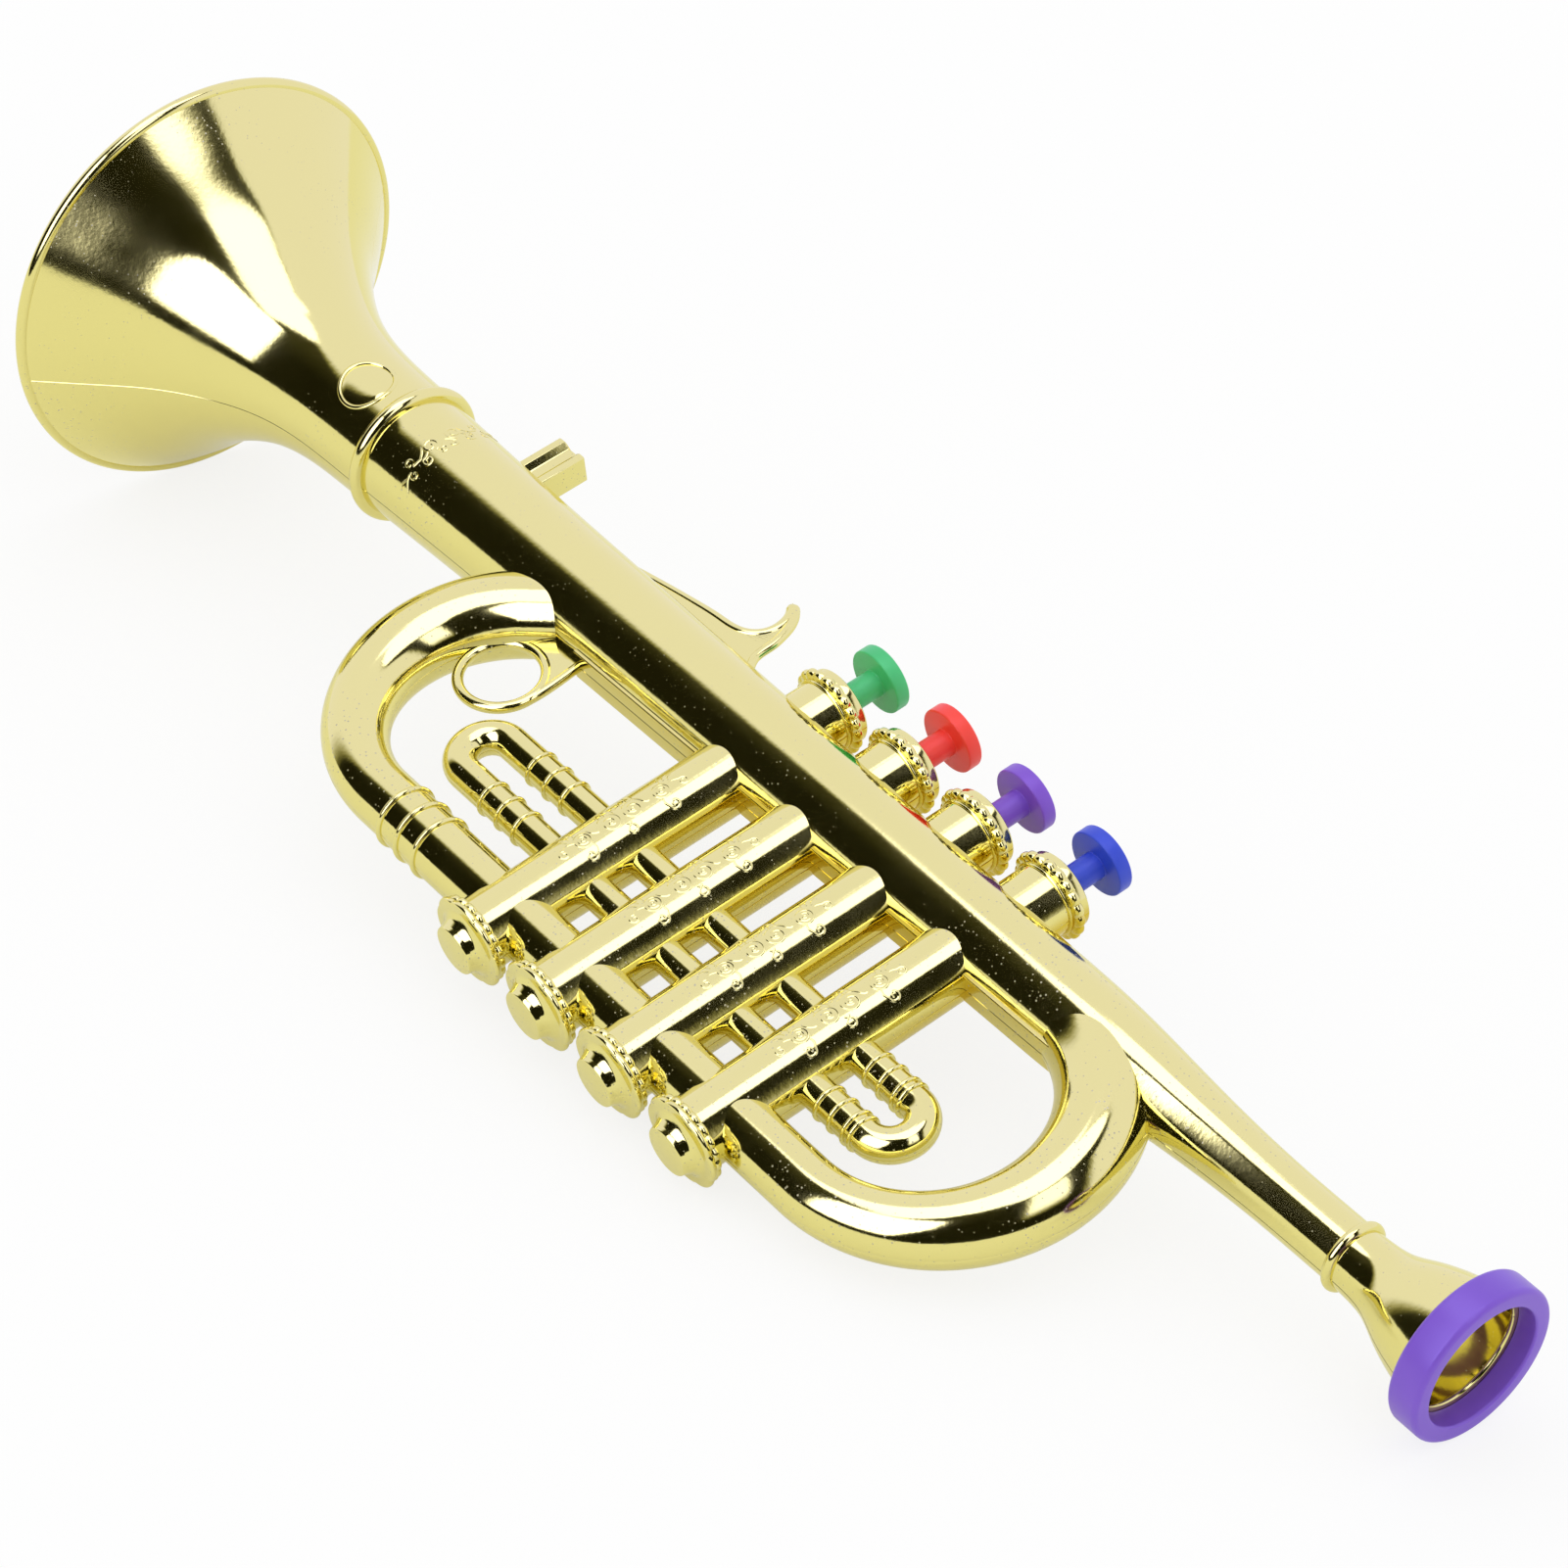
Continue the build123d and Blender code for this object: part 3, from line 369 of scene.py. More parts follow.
plainSteel = metalMaterial("drawnSteel", {"colour": "#C4C4C4", "grainMm": 0.3, "rough": (0.22, 0.36)})
print("materials made")


def closedPart(grid, wrapRows=False):
    # A closed surface on a grid of points whose columns wrap. Rows that don't wrap are closed at both ends
    # by a fan to their middle, and the faces are turned to point outwards by the sign of the volume.
    rows, columns = grid.shape[:2]
    points = grid.reshape(-1, 3)
    i = np.arange(rows if wrapRows else rows - 1)[:, None]
    j = np.arange(columns)[None]
    down, side = (i + 1) % rows, (j + 1) % columns
    quads = np.stack([i * columns + j, i * columns + side, down * columns + side, down * columns + j], -1)
    quads = quads.reshape(-1, 4)
    triangles = np.zeros((0, 3), int)
    if not wrapRows:
        middles = grid[[0, -1]].mean(1)
        points = np.concatenate([points, middles])
        k = np.arange(columns)
        after = (k + 1) % columns
        first = np.stack([after, k, np.full(columns, rows * columns)], -1)
        last = np.stack([k, after, np.full(columns, rows * columns + 1)], -1)
        last[:, :2] += (rows - 1) * columns
        triangles = np.concatenate([first, last])
    split = np.concatenate([quads[:, [0, 1, 2]], quads[:, [0, 2, 3]], triangles])
    centre = points.mean(0)
    a, b, c = [points[split[:, k]] - centre for k in range(3)]
    if (a * np.cross(b, c)).sum() < 0:
        quads, triangles = quads[:, ::-1], triangles[:, ::-1]
    return points, quads, triangles


creaseDegrees = 40.0


def makePiece(name, parts, material, body="trumpet"):
    # One mesh of several closed parts, smooth except over creases sharper than the angle.
    points, faces, start = [], [], 0
    for corners, quads, triangles in parts:
        points.append(corners)
        faces += (quads + start).tolist() + (triangles + start).tolist()
        start += len(corners)
    mesh = bpy.data.meshes.new(name)
    mesh.from_pydata(toRow(np.concatenate(points)).tolist(), [], faces)
    mesh.update()
    mesh.shade_smooth()
    mesh.set_sharp_from_angle(angle=math.radians(creaseDegrees))
    mesh.materials.append(material)
    piece = addObject(name, mesh)
    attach(piece, body)
    return piece


def paintShade(piece, parts, fades, least=0.0, most=1.0):
    # Store where painted shade makes the gold a deeper yellow, from least to most: a product of smooth steps
    # 3 t^2 - 2 t^3, each along one axis from its start to its end in mm.
    points = np.concatenate([part[0] for part in parts])
    paintedShade = np.ones(len(points))
    for axis, start, end in fades:
        t = np.clip((points[:, axis] - start) / (end - start), 0, 1)
        paintedShade *= t * t * (3 - 2 * t)
    layer = piece.data.attributes.new("paintedShadeMask", "FLOAT", "POINT")
    layer.data.foreach_set("value", (least + (most - least) * paintedShade).astype(np.float32))


def unit(vectors):
    # Rows at length 1.
    return vectors / np.maximum(np.linalg.norm(vectors, axis=1), 1e-9)[:, None]


def smoothCurve(points, count):
    # Natural cubic spline through the points, by chord length.
    p = np.asarray(points, float)
    t = np.concatenate([[0], np.cumsum(np.linalg.norm(np.diff(p, axis=0), axis=1))])
    h = np.diff(t)
    n = len(p)
    system, right = np.eye(n), np.zeros((n, p.shape[1]))
    k = np.arange(1, n - 1)
    system[k, k - 1], system[k, k], system[k, k + 1] = h[:-1], 2 * (h[:-1] + h[1:]), h[1:]
    right[1:-1] = 6 * (np.diff(p, axis=0)[1:] / h[1:, None] - np.diff(p, axis=0)[:-1] / h[:-1, None])
    bend = np.linalg.solve(system, right)
    s = np.linspace(0, t[-1], count)
    j = np.clip(np.searchsorted(t, s, side="right") - 1, 0, n - 2)
    a, b, w = (t[j + 1] - s)[:, None], (s - t[j])[:, None], h[j][:, None]
    return (bend[j] * a ** 3 + bend[j + 1] * b ** 3) / (6 * w) \
        + (p[j] / w - bend[j] * w / 6) * a + (p[j + 1] / w - bend[j + 1] * w / 6) * b


def roundCorners(corners, radii, steps=5):
    # Open polyline whose inner corners are rounded: each becomes an arc tangent to both sides.
    p = np.asarray(corners, float)
    r = np.asarray(radii, float)
    u, v = unit(p[:-2] - p[1:-1]), unit(p[2:] - p[1:-1])
    half = np.arccos(np.clip((u * v).sum(1), -1, 1)) / 2
    cut = r / np.tan(half)
    centre = p[1:-1] + unit(u + v) * (r / np.sin(half))[:, None]
    start, end = p[1:-1] + u * cut[:, None] - centre, p[1:-1] + v * cut[:, None] - centre
    turn = np.pi - 2 * half
    s = np.linspace(0, 1, steps)[None, :, None]
    angle = turn[:, None, None]
    arcs = (start[:, None] * np.sin((1 - s) * angle) + end[:, None] * np.sin(s * angle)) / np.sin(angle) \
        + centre[:, None]
    line = np.concatenate([p[:1], arcs.reshape(-1, 2), p[-1:]])
    keep = np.concatenate([[True], np.linalg.norm(np.diff(line, axis=0), axis=1) > 1e-5])
    return line[keep]


# Radius in mm of a corner that stays sharp
sharpCorner = 0.02


def seamAngles(radius, count, groove=0.1):
    # Angles round a tube whose seam lies at 0 and half a turn, with close steps beside the seam.
    edge = np.arcsin(np.clip(groove / np.maximum(radius, groove * 2), 0, 0.5))[:, None]
    half = np.concatenate([0 * edge, edge + (np.pi - 2 * edge) * np.linspace(0, 1, count)[None]], 1)
    return np.concatenate([half, half + np.pi], 1)


seamDepth = 0.06


def turnedPart(profile, axis, centre, count=64, wrapRows=False, seam=seamDepth):
    # Surface of revolution about x or y: profile rows are (along it, radius), with the seam's fine groove.
    along, radius = profile[:, 0], profile[:, 1]
    angles = seamAngles(radius, count)
    r = np.repeat(radius[:, None], angles.shape[1], 1)
    if seam:
        columns = [0, count + 1]
        r[:, columns] = np.maximum(r[:, columns] - seam, 0.02)
    level = along[:, None] + 0 * angles
    flat, up = r * np.cos(angles), r * np.sin(angles)
    grid = np.stack([level, flat, up] if axis == "x" else [flat, level, up], -1)
    return closedPart(grid + np.asarray(centre, float), wrapRows)


def sweptPart(path, radius, count, seam=seamDepth):
    # Tube along a path in the plane z = 0, with a radius at each station.
    way = unit(np.gradient(path, axis=0))
    sideways = np.stack([-way[:, 1], way[:, 0], 0 * way[:, 0]], 1)
    angles = seamAngles(radius, count)
    r = np.repeat(radius[:, None], angles.shape[1], 1)
    if seam:
        r[:, [0, count + 1]] -= seam
    grid = path[:, None] + sideways[:, None] * (r * np.cos(angles))[..., None]
    grid[..., 2] += r * np.sin(angles)
    return closedPart(grid)


def levelRun(x, y):
    # Points in the plane z = 0, all at the same y.
    return np.stack([x, 0 * x + y, 0 * x], 1)


def inSeamPlane(line):
    # The (x, y) points of a line, with z = 0.
    return np.concatenate([line, np.zeros((len(line), 1))], 1)


def beadPart(along, centre, major, minor, count=64, axis="x", steps=20, seam=seamDepth):
    # A round bead about a tube: a circle of the minor radius carried round at the major radius.
    t = np.linspace(0, 2 * np.pi, steps, endpoint=False)
    profile = np.stack([along + minor * np.cos(t), major + minor * np.sin(t)], 1)
    return turnedPart(profile, axis, centre, count, True, seam)


# Bell, main tube, lead pipe and cup as one shell with its inside
tube = {"wall": 2.0, "rimX": -0.3, "rimRadius": 50.3, "rimBead": 1.5,
        "flare": [(-0.3, 51.4), (4.03, 47.5), (12.0, 40.4), (22.0, 31.8), (34.0, 24.1), (46.0, 18.9),
                  (58.0, 16.4), (70.0, 15.6), (82.3, 15.3)],
        "run": [(82.3, 14.9), (120, 13.7), (180, 12.69), (240, 11.68), (296, 10.74), (316, 10.3),
                (330, 9.26), (344, 8.06), (358, 7.2), (372, 6.85), (380, 6.84), (389, 6.85)],
        "cup": [(389, 6.85), (392.64, 7.07), (396.56, 7.74), (399.64, 8.94), (402.44, 10.2), (405.8, 11.47),
                (410.28, 12.81), (416.7, 14.25)],
        "rim": [(416.95, 14.0), (417.0, 13.6), (417.0, 12.9), (416.9, 12.55)],
        "bowl": [(416.7, 12.38), (409.63, 11.35), (403.42, 8.5), (399.54, 5.05), (397.6, 1.9)],
        "blowHole": [(394.4, 1.9), (393.6, 2.2)], "insideEnd": 391.6, "seam": 0.12,
        "collarX": 82.3, "collarRadius": 15.3, "collarBead": 1.75, "mouthCollarX": 386.9,
        "mouthRadius": 6.85, "mouthBead": 1.2}
outer = np.concatenate([smoothCurve(tube["flare"], 90), smoothCurve(tube["run"], 120)[1:],
                        smoothCurve(tube["cup"], 30)[1:]])
slope = unit(np.gradient(outer, axis=0))
inner = outer + np.stack([slope[:, 1], -slope[:, 0]], 1) * tube["wall"]
inner = inner[outer[:, 0] < tube["insideEnd"]][::-1]
bowl = smoothCurve(tube["bowl"], 26)
shellProfile = np.concatenate([outer, tube["rim"], bowl, tube["blowHole"], inner])
middle = (0, 0, 0)
parts = [turnedPart(shellProfile, "x", middle, 84, True, tube["seam"]),
         beadPart(tube["rimX"], middle, tube["rimRadius"], tube["rimBead"], 120),
         beadPart(tube["collarX"], middle, tube["collarRadius"], tube["collarBead"]),
         beadPart(tube["mouthCollarX"], middle, tube["mouthRadius"], tube["mouthBead"], 48)]
mainTube = makePiece("goldMainTube", parts, gold)
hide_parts(*["shell_%s_%s" % (half, section) for half in ("front", "back")
                        for section in ("bell", "loop", "valves", "pipe", "cup")])
print("main tube made")

# Return tube with both loops: one swelling tube from the main tube, round and back into it
loops = {"returnY": -66.35, "returnRadius": 6.95, "frontX": 163.4, "frontBend": 31.9, "frontTurn": 135.0,
         "frontRadius": 9.6, "frontSwell": 130.0, "frontTail": 17.0, "rearX": 303.5, "rearBend": 33.175,
         "rearTurn": 180.0, "rearRadius": 10.0, "rearSwell": 150.0, "rearTail": 8.0,
         "beadX": 171.4, "beadPitch": 6.0, "beads": 3, "bead": 0.66}


def loopArc(centreX, bend, turn, side, large, swell, count):
    # Arc from the return tube upwards, and its radius: small + (large - small)(1 - cos)/2.
    a = np.radians(np.linspace(0, turn, count))
    arc = np.stack([centreX + side * bend * np.sin(a), loops["returnY"] + bend - bend * np.cos(a), 0 * a], 1)
    part = np.minimum(np.degrees(a) / swell, 1)
    return arc, loops["returnRadius"] + (large - loops["returnRadius"]) * (1 - np.cos(np.pi * part)) / 2


frontArc, frontRadii = loopArc(loops["frontX"], loops["frontBend"], loops["frontTurn"], -1,
                               loops["frontRadius"], loops["frontSwell"], 90)
rearArc, rearRadii = loopArc(loops["rearX"], loops["rearBend"], loops["rearTurn"], 1,
                             loops["rearRadius"], loops["rearSwell"], 120)
turn = np.radians(loops["frontTurn"])
tailWay = np.array([-np.cos(turn), np.sin(turn), 0])
frontTail = frontArc[-1] + tailWay * np.linspace(loops["frontTail"], 1, 10)[:, None]
rearTail = rearArc[-1] + np.array([-1.0, 0, 0]) * np.linspace(1, loops["rearTail"], 5)[:, None]
straight = levelRun(np.linspace(loops["frontX"], loops["rearX"], 60)[1:-1], loops["returnY"])
path = np.concatenate([frontTail, frontArc[::-1], straight, rearArc, rearTail])
radii = np.concatenate([np.full(len(frontTail), loops["frontRadius"]), frontRadii[::-1],
                        np.full(len(straight), loops["returnRadius"]), rearRadii,
                        np.full(len(rearTail), loops["rearRadius"])])
parts = [sweptPart(path, radii, 40)]
parts += [beadPart(loops["beadX"] + loops["beadPitch"] * k, (0, loops["returnY"], 0), loops["returnRadius"],
                   loops["bead"], 48) for k in range(loops["beads"])]
loopTube = makePiece("goldLoops", parts, gold)
print("loops made")

# Casings with their caps
valves = {"x": [208.3, 231.85, 255.4, 278.95], "radius": 8.0,
          "corners": [(0, -81.1), (5.5, -81.1), (5.8, -80.0), (6.4, -78.7), (7.6, -77.75), (9.2, -77.6),
                      (9.2, -76.6), (8.0, -76.6), (8.0, 17.0), (8.5, 17.8), (8.8, 19.3), (8.8, 21.2),
                      (3.25, 21.2), (3.25, 14.6), (6.0, 14.6), (6.0, -71.8), (0, -71.8)],
          "edges": [0.3, 0.7, 1.4, 1.6, 0.1, 0.1, 0.1, 0.4, 0.5, 0.5, 0.6, 0.15, 0.1, 0.2, 0.4],
          "inside": 7.0, "petals": 8, "petalDepth": 0.5, "petalRadius": 10.4, "petalHeights": (-77.7, -76.3),
          "lobes": 20, "lobeDepth": 0.6, "lobeRadius": 9.9, "lobeHeights": (-76.4, -74.7), "lobeTurn": 0.2,
          "topRadius": 10.25, "topHeights": (16.9, 19.1), "topTurn": 0.3, "topBead": (16.6, 8.05, 0.5),
          "petalPower": 0.8, "softShare": 0.42, "paintedShade": [(2, 3.0, -0.5), (1, -63.0, -59.0)]}
casingLine = roundCorners(valves["corners"], valves["edges"])[:, ::-1]
lobes, lobeDepth = valves["lobes"], valves["lobeDepth"]
beadY, beadMajor, beadMinor = valves["topBead"]


def petalPart(x, radius, heights, turn, number, depth):
    # Flange with round petals: outline radius - depth (1 - |cos|^petalPower), edge rounded.
    t = np.linspace(0, 2 * np.pi, 400, endpoint=False)
    outline = radius - depth * (1 - np.abs(np.cos(number * t / 2 + turn)) ** valves["petalPower"])
    low, high = heights
    soft = (high - low) * valves["softShare"]
    edge = roundCorners([(0, low), (1, low), (1, high), (0, high)], [soft, soft], 6)
    inset = (edge[:, 0] - 1)[:, None]
    r = np.where(inset < -0.9, valves["inside"], outline[None] + inset)
    level = edge[:, 1][:, None] + 0 * t[None]
    grid = np.stack([x + r * np.cos(t), level, r * np.sin(t)], -1)
    return closedPart(grid, True)


for k, x in enumerate(valves["x"]):
    parts = [turnedPart(casingLine, "y", (x, 0, 0), 48),
             petalPart(x, valves["topRadius"], valves["topHeights"], valves["topTurn"], lobes, lobeDepth),
             beadPart(beadY, (x, 0, 0), beadMajor, beadMinor, 48, "y", 16, 0),
             petalPart(x, valves["petalRadius"], valves["petalHeights"], 0.0, valves["petals"],
                       valves["petalDepth"]),
             petalPart(x, valves["lobeRadius"], valves["lobeHeights"], valves["lobeTurn"], lobes, lobeDepth)]
    casing = makePiece("goldCasing%d" % (k + 1), parts, gold)
    # Painted shade: deeper yellow on the casings' undersides, down to just above their bottom caps
    paintShade(casing, parts, valves["paintedShade"])
print("casings made")

# Valve slides and the short links between casings
slides = {"upperY": -37.2, "lowerY": -49.7, "radius": 3.8, "frontX": 170.0, "rearX": 302.4, "bead": 0.52,
          "frontBeads": (179.9, 5.75, 3), "rearBeads": (291.0, 4.17, 4), "reach": 6.8, "legStart": 0.6,
          "paintedShade": [(2, 1.5, -1.0), (0, 196.0, 204.0), (0, 290.0, 282.0)], "paintedShadeMost": 0.8}


def slidePart(bendX, casingX, side, beads):
    # U-shaped slide: two legs and a half turn. Beads are half round rings on the legs, whose lift is
    # sqrt(bead^2 - distance^2) at a distance from their middle.
    bend = (slides["upperY"] - slides["lowerY"]) / 2
    leg = abs(casingX - bendX)
    first, pitch, number = beads
    marks = np.abs(first + pitch * np.arange(number) - bendX)
    fine = (marks[:, None] + slides["bead"] * np.sin(np.linspace(-np.pi / 2, np.pi / 2, 9))[None]).ravel()
    stations = np.unique(np.concatenate([np.linspace(slides["legStart"], leg, 30), fine]))
    near = np.abs(stations[:, None] - marks[None]).min(1)
    lift = np.sqrt(np.maximum(slides["bead"] ** 2 - near ** 2, 0))
    a = np.linspace(0, np.pi, 40)
    arc = np.stack([bendX + side * bend * np.sin(a), slides["lowerY"] + bend - bend * np.cos(a), 0 * a], 1)
    legX = bendX - side * stations
    path = np.concatenate([levelRun(legX, slides["lowerY"])[::-1], arc, levelRun(legX, slides["upperY"])])
    radius = slides["radius"] + np.concatenate([lift[::-1], np.zeros(len(arc)), lift])
    return sweptPart(path, radius, 26)


xs = valves["x"]
parts = [slidePart(slides["frontX"], xs[0] - slides["reach"], -1, slides["frontBeads"]),
         slidePart(slides["rearX"], xs[-1] + slides["reach"], 1, slides["rearBeads"])]
linkLine = np.linspace(0, 1, 8)
for left, right in zip(xs[:-1], xs[1:]):
    for y in (slides["upperY"], slides["lowerY"]):
        path = levelRun(left + slides["reach"] + (right - left - 2 * slides["reach"]) * linkLine, y)
        parts.append(sweptPart(path, np.full(len(path), slides["radius"]), 26))
slideTubes = makePiece("goldSlides", parts, gold)
# Painted shade: deeper yellow on the undersides of the links between the casings
paintShade(slideTubes, parts, slides["paintedShade"], most=slides["paintedShadeMost"])
print("slides made")

# Web under the main tube: a flat strip whose lower face runs just below the tube, with sharp edges
web = {"drop": 0.25, "top": -7.0, "half": 4.0, "edge": 0.3, "seam": 0.14, "start": 160.0, "end": 312.0,
       "paintedShade": [(0, 196.0, 206.0), (0, 294.0, 284.0)], "paintedShadeLeast": 0.3}


def webPart(left, right):
    # Box section with fine rounded edges and the seam's groove, carried along the tube's underside.
    x = np.linspace(left, right, 60)
    low = -np.interp(x, outer[:, 0], outer[:, 1]) - web["drop"]
    e, h, g = web["edge"], web["half"], web["seam"]
    section = roundCorners([(g, 0.0), (0.0, g), (0.0, h), (1.0, h), (1.0, -h), (0.0, -h), (0.0, -g),
                            (g, 0.0)], [sharpCorner, e, sharpCorner, sharpCorner, e, sharpCorner], 5)[:-1]
    tall = section[:, 0][None]
    y = np.where(tall < 0.9, low[:, None] + tall, web["top"])
    grid = np.stack([x[:, None] + 0 * tall, y, section[:, 1][None] + 0 * y], -1)
    return closedPart(grid)


parts = [webPart(web["start"], web["end"])]
webStrip = makePiece("goldWeb", parts, gold)
# Painted shade: deeper yellow all along the web, strongest between the casings
paintShade(webStrip, parts, web["paintedShade"], least=web["paintedShadeLeast"])

# Finger ring: a wire ring held by a thin plate with a thick lower edge
finger = {"centre": (152.0, -26.8), "radius": 9.6, "wire": 1.3, "plate": 0.9, "start": 14.0, "end": 172.0,
          "right": 9.7, "left": 14.5, "up": 20.0, "arm": 1.15,
          "armLine": [(157.9, -34.5), (160.9, -30.4), (161.9, -25.0), (161.6, -18.0), (160.6, -8.0)]}
ringX, ringY = finger["centre"]
t = np.linspace(0, 2 * np.pi, 96, endpoint=False)[:, None]
s = np.linspace(0, 2 * np.pi, 24, endpoint=False)[None]
reach = finger["radius"] + finger["wire"] * np.cos(s)
ringZ = finger["wire"] * np.sin(s) + 0 * t
ringGrid = np.stack([ringX + reach * np.cos(t), ringY + reach * np.sin(t), ringZ], -1)
a = np.radians(np.linspace(finger["start"], finger["end"], 60))
rightReach = finger["right"] / np.maximum(np.cos(a), 1e-3)
leftReach = finger["left"] / np.maximum(-np.cos(a), 1e-3)
outReach = np.minimum(np.minimum(rightReach, leftReach), finger["up"] / np.sin(a))
section = roundCorners([(0, -1.0), (0, 1.0), (1, 1.0), (1, -1.0), (0, -1.0)], [sharpCorner] * 3, 2)[:-1]
span = finger["radius"] + (outReach - finger["radius"])[:, None] * section[:, 0][None]
plateGrid = np.stack([ringX + span * np.cos(a)[:, None], ringY + span * np.sin(a)[:, None],
                      finger["plate"] * section[:, 1][None] + 0 * span], -1)
armPath = inSeamPlane(smoothCurve(finger["armLine"], 24))
parts = [closedPart(ringGrid, True), closedPart(plateGrid),
         sweptPart(armPath, np.full(len(armPath), finger["arm"]), 16, seam=0)]
fingerRing = makePiece("goldFingerRing", parts, gold)

# Finger hook: a flat plate inside a round rim that runs along its top, curls up as the arm and comes
# back down to the tube as the heel
hook = {"half": 0.85, "rims": [1.1, 1.1, 1.1, 1.15, 1.25, 1.4], "plateFrom": 141.0,
        "base": (141.5, 188.6, 10.4),
        "top": [(139.5, 12.3), (151.6, 14.75), (158.0, 15.95), (164.2, 17.0), (170.7, 17.85), (176.0, 18.55),
                (178.9, 20.0), (180.7, 22.1), (181.5, 24.6), (181.4, 27.1), (180.3, 30.0), (178.3, 32.1)],
        "heel": [(188.6, 11.3), (186.7, 13.5), (185.2, 15.8), (184.7, 18.4), (184.6, 21.3), (183.9, 24.7),
                 (182.7, 27.9), (181.0, 30.2), (178.5, 32.1)]}
topPath = smoothCurve(hook["top"], 90)
heelPath = smoothCurve(hook["heel"], 70)


def rimPart(line, sizes):
    # Round rim along a line in the seam plane, with rounded ends.
    path = inSeamPlane(line)
    s = np.linspace(0, 1, len(line))
    radius = np.interp(s, np.linspace(0, 1, len(sizes)), sizes)
    reach = np.minimum(s, 1 - s) * len(line) * np.linalg.norm(np.diff(line, axis=0), axis=1).mean()
    cap = np.sqrt(np.clip(1 - (1 - np.minimum(reach / radius, 1)) ** 2, 0.02, 1))
    return sweptPart(path, radius * cap, 18)


fillTop = topPath[topPath[:, 0] > hook["plateFrom"]]
fillCount = 60
topSide = fillTop[np.linspace(0, len(fillTop) - 1, fillCount).astype(int)]
baseStart, baseEnd, baseY = hook["base"]
base = np.stack([np.linspace(baseStart, baseEnd, 30), np.full(30, baseY)], 1)
fillLow = np.concatenate([base, heelPath])
lowSide = fillLow[np.linspace(0, len(fillLow) - 1, fillCount).astype(int)]
plateSection = np.array([(0, -1), (0, 1), (1, 1), (1, -1)])
across = lowSide[:, None] + (topSide - lowSide)[:, None] * plateSection[:, 0][None, :, None]
plateZ = hook["half"] * plateSection[:, 1][None] + 0 * across[..., 0]
plateGrid = np.concatenate([across, plateZ[..., None]], -1)
parts = [rimPart(topPath, hook["rims"]), rimPart(heelPath, hook["rims"]), closedPart(plateGrid)]
fingerHook = makePiece("goldFingerHook", parts, gold)

# Stub beside the collar: a square post with a wide groove along its face
stub = {"x": 108.55, "width": 9.0, "half": 3.5, "groove": 5.4, "floor": 2.6, "depth": 1.4, "edge": 0.3,
        "grooveEdge": 0.9, "levels": [9.0, 15.0, 25.3, 25.5, 25.6], "shrink": [0, 0, 0, 0.1, 0.3]}
w, g, fl, h = stub["width"] / 2, stub["groove"] / 2, stub["floor"] / 2, stub["half"]
floorZ, edges = h - stub["depth"], [stub["edge"]] * 3
outline = roundCorners([(0, -h), (w, -h), (w, h), (g, h), (fl, floorZ), (-fl, floorZ), (-g, h), (-w, h),
                        (-w, -h), (0, -h)], edges + [stub["grooveEdge"]] * 2 + edges, 5)[:-1]
levels = np.array(stub["levels"])[:, None]
size = 1 - np.array(stub["shrink"])[:, None] / w
grid = np.stack([stub["x"] + outline[:, 0][None] * size, levels + 0 * outline[:, 0][None],
                 outline[:, 1][None] * size], -1)
stubPost = makePiece("goldStub", [closedPart(grid)], gold)
print("web, ring, hook and stub made")

# Raised scrollwork: soft ridges that follow strokes drawn in mm on the unrolled surface
relief = {"width": 0.34, "lift": 0.09, "sink": 0.005, "ends": 0.55, "steps": 9, "root": -0.15,
          "rootHalf": 0.6, "casingY": -36.6, "bandX": 96.8}


def spiral(centre, start, turns, outside, inside, count=40):
    # Points on a spiral: the radius falls evenly from outside to inside over the turns.
    s = np.linspace(0, 1, count)
    a = math.radians(start) + 2 * np.pi * turns * s
    r = outside + (inside - outside) * s
    return np.stack([centre[0] + r * np.cos(a), centre[1] + r * np.sin(a)], 1)


def wirePart(stroke, wrap):
    # Ridge lift (1 + cos(pi u)) / 2 along a stroke, thinner at both ends and closed by a root below the
    # surface; wrap turns (along, around, height) into a place.
    stroke = np.asarray(stroke, float)
    d = unit(np.gradient(stroke, axis=0))
    side = np.stack([-d[:, 1], d[:, 0]], 1)
    s = np.linspace(0, 1, len(stroke))
    thin = relief["ends"] + (1 - relief["ends"]) * np.sin(np.pi * np.clip(s, 0.02, 0.98)) ** 0.5
    steps, rootHalf = relief["steps"], relief["rootHalf"]
    u = np.concatenate([np.linspace(1, -1, steps), [-rootHalf, rootHalf]])[None]
    ridge = relief["lift"] * (1 + np.cos(np.pi * u)) / 2
    rise = np.where(np.arange(steps + 2) < steps, ridge, relief["root"])
    flat = stroke[:, None] + side[:, None] * (relief["width"] * thin[:, None] * u)[..., None]
    lift = rise * thin[:, None] - relief["sink"]
    return closedPart(wrap(flat[..., 0], flat[..., 1], lift))


def casingWrap(x):
    # Places on a casing: along is mm down its length, around is mm round from its +z side.
    def wrap(along, around, lift):
        angle = np.pi / 2 + around / valves["radius"]
        r = valves["radius"] + lift
        return np.stack([x + r * np.cos(angle), relief["casingY"] - along, r * np.sin(angle)], -1)
    return wrap


def mirrored(strokes):
    # The strokes, and the same strokes with along turned round.
    return strokes + [np.asarray(s) * np.array([-1, 1]) for s in strokes]


